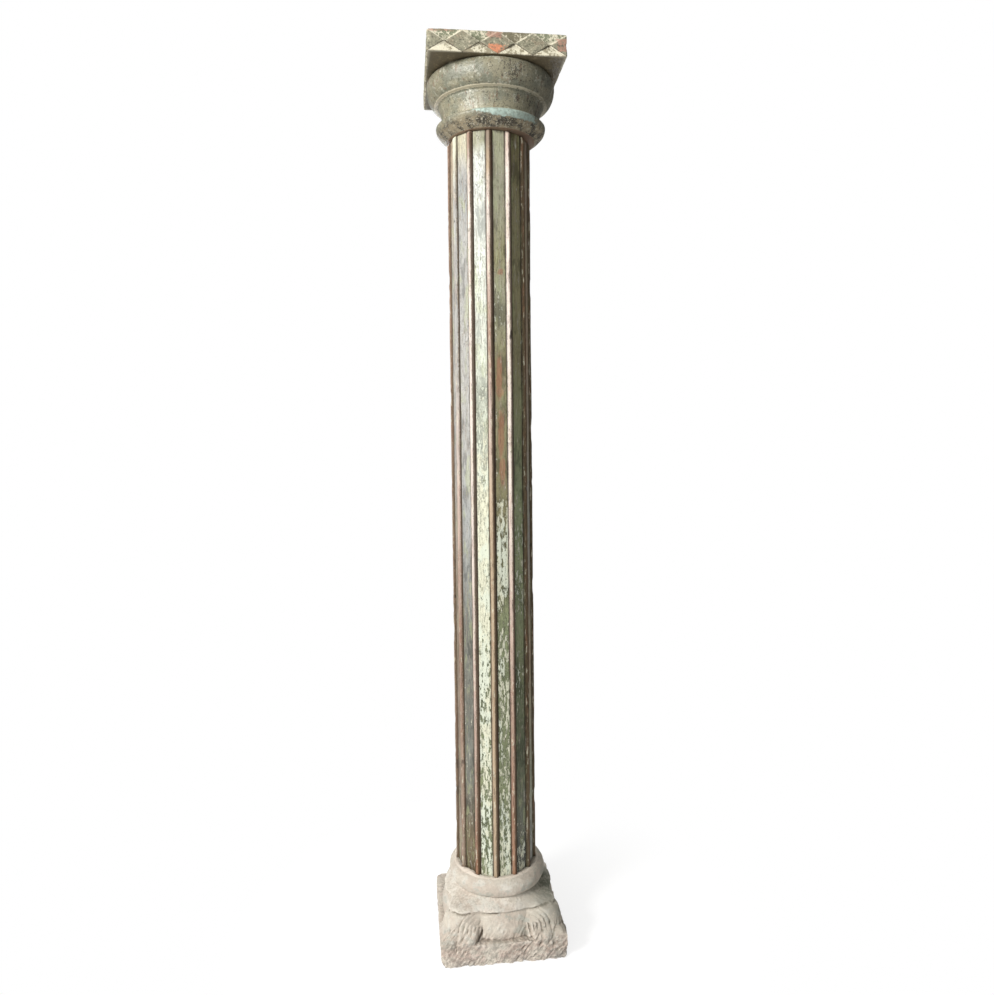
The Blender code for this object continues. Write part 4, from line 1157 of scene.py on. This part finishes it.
# Stage, light and camera
CAMERA_DISTANCE = 1.9499
CAMERA_HEIGHT = 1.3478
CAMERA_AZIMUTH_DEG = -6.4475
CAMERA_AIM_DEG = -0.2354
CAMERA_PITCH_DEG = -5.1149
CAMERA_ROLL_DEG = -0.5833
FOCAL_SHARE = 750.0 / 995.0
SENSOR_HEIGHT_MM = 36.0
FLOOR_RADIUS = 1.0
FLOOR_DROP = 0.0005
FLOOR_SIDES = 96
LAMP_DISTANCE = 3.6
LAMP_AIM_HEIGHT = 1.1
# Lamps round the column: name, power, size, azimuth in degrees, height and colour
LAMPS = (
    ("soft_key", 168.0, 1.1, -52.0, 2.75, (1.0, 0.985, 0.96)),
    ("front_fill", 36.0, 2.0, -26.0, 1.9, (1.0, 0.99, 0.97)),
    ("back_fill", 70.0, 2.4, 176.0, 2.2, (0.97, 0.985, 1.0)),
)
FILL_STRENGTH = 0.34


def build_camera():
    around = math.radians(CAMERA_AZIMUTH_DEG)
    place = Vector((CAMERA_DISTANCE * math.sin(around), -CAMERA_DISTANCE * math.cos(around), CAMERA_HEIGHT))
    yaw, pitch = around + math.radians(CAMERA_AIM_DEG), math.radians(CAMERA_PITCH_DEG)
    ahead = Vector((-math.sin(yaw) * math.cos(pitch), math.cos(yaw) * math.cos(pitch), math.sin(pitch)))
    right = ahead.cross(Vector((0.0, 0.0, 1.0))).normalized()
    turn = Matrix.Rotation(-math.radians(CAMERA_ROLL_DEG), 4, ahead)
    right = turn @ right
    above = right.cross(ahead)
    view = bpy.data.cameras.new("photo_view")
    view.sensor_fit = "VERTICAL"
    view.sensor_height = SENSOR_HEIGHT_MM
    view.lens = SENSOR_HEIGHT_MM * FOCAL_SHARE
    camera = bpy.data.objects.new("photo_view", view)
    bpy.context.scene.collection.objects.link(camera)
    camera.matrix_world = Matrix((
        (right.x, above.x, -ahead.x, place.x),
        (right.y, above.y, -ahead.y, place.y),
        (right.z, above.z, -ahead.z, place.z),
        (0.0, 0.0, 0.0, 1.0),
    ))
    bpy.context.scene.camera = camera


def build_light():
    for name, power, size, azimuth_deg, height, colour in LAMPS:
        around = math.radians(azimuth_deg)
        lamp = bpy.data.lights.new(name, "AREA")
        lamp.shape = "DISK"
        lamp.size = size
        lamp.energy = power
        lamp.color = colour
        hung = bpy.data.objects.new(name, lamp)
        bpy.context.scene.collection.objects.link(hung)
        hung.location = (LAMP_DISTANCE * math.sin(around), -LAMP_DISTANCE * math.cos(around), height)
        aim = Vector((0.0, 0.0, LAMP_AIM_HEIGHT)) - hung.location
        hung.rotation_euler = aim.to_track_quat("-Z", "Y").to_euler()
    world = bpy.data.worlds.new("white_room")
    bpy.context.scene.world = world
    world.use_nodes = True
    nodes, links = world.node_tree.nodes, world.node_tree.links
    fill = nodes["Background"]
    fill.inputs["Color"].default_value = (1.0, 0.99, 0.96, 1.0)
    fill.inputs["Strength"].default_value = FILL_STRENGTH
    seen = nodes.new("ShaderNodeBackground")
    seen.inputs["Color"].default_value = (1.0, 1.0, 1.0, 1.0)
    path, either = nodes.new("ShaderNodeLightPath"), nodes.new("ShaderNodeMixShader")
    links.new(path.outputs["Is Camera Ray"], either.inputs[0])
    links.new(fill.outputs[0], either.inputs[1])
    links.new(seen.outputs[0], either.inputs[2])
    links.new(either.outputs[0], nodes["World Output"].inputs["Surface"])
    bpy.context.scene.view_settings.view_transform = "Standard"


def build_floor():
    """White paper round the column, glowing softly further out so that it meets the white room."""
    mesh = bpy.data.meshes.new("white_floor")
    turns = [2 * math.pi * i / FLOOR_SIDES for i in range(FLOOR_SIDES)]
    ring = [(FLOOR_RADIUS * math.cos(turn), FLOOR_RADIUS * math.sin(turn), -FLOOR_DROP) for turn in turns]
    mesh.from_pydata(ring, [], [list(range(FLOOR_SIDES))])
    floor = bpy.data.objects.new("white_floor", mesh)
    bpy.context.scene.collection.objects.link(floor)
    f = Finish("white_paper")
    away = f.node("VectorMath", {"operation": "LENGTH"}, {0: f.place}, output="Value")
    far = f.ramp(away, 0.20, 0.75)
    f.feed(f.shader.inputs["Base Color"], f.paint((0.34, 0.34, 0.34), (0.0, 0.0, 0.0), far))
    f.feed(f.shader.inputs["Emission Color"], f.paint((0.72, 0.72, 0.72), (1.0, 1.0, 1.0), far))
    f.shader.inputs["Emission Strength"].default_value = 1.0
    f.shader.inputs["Specular IOR Level"].default_value = 0.0
    f.shader.inputs["Roughness"].default_value = 1.0
    mesh.materials.append(f.material)


def main():
    dress(build_shaft(), "shaft", shaft_finish())
    dress(build_capital(), "capital", capital_finish())
    dress(build_base(), "stone_base", stone_finish())
    build_camera()
    build_light()
    build_floor()


main()
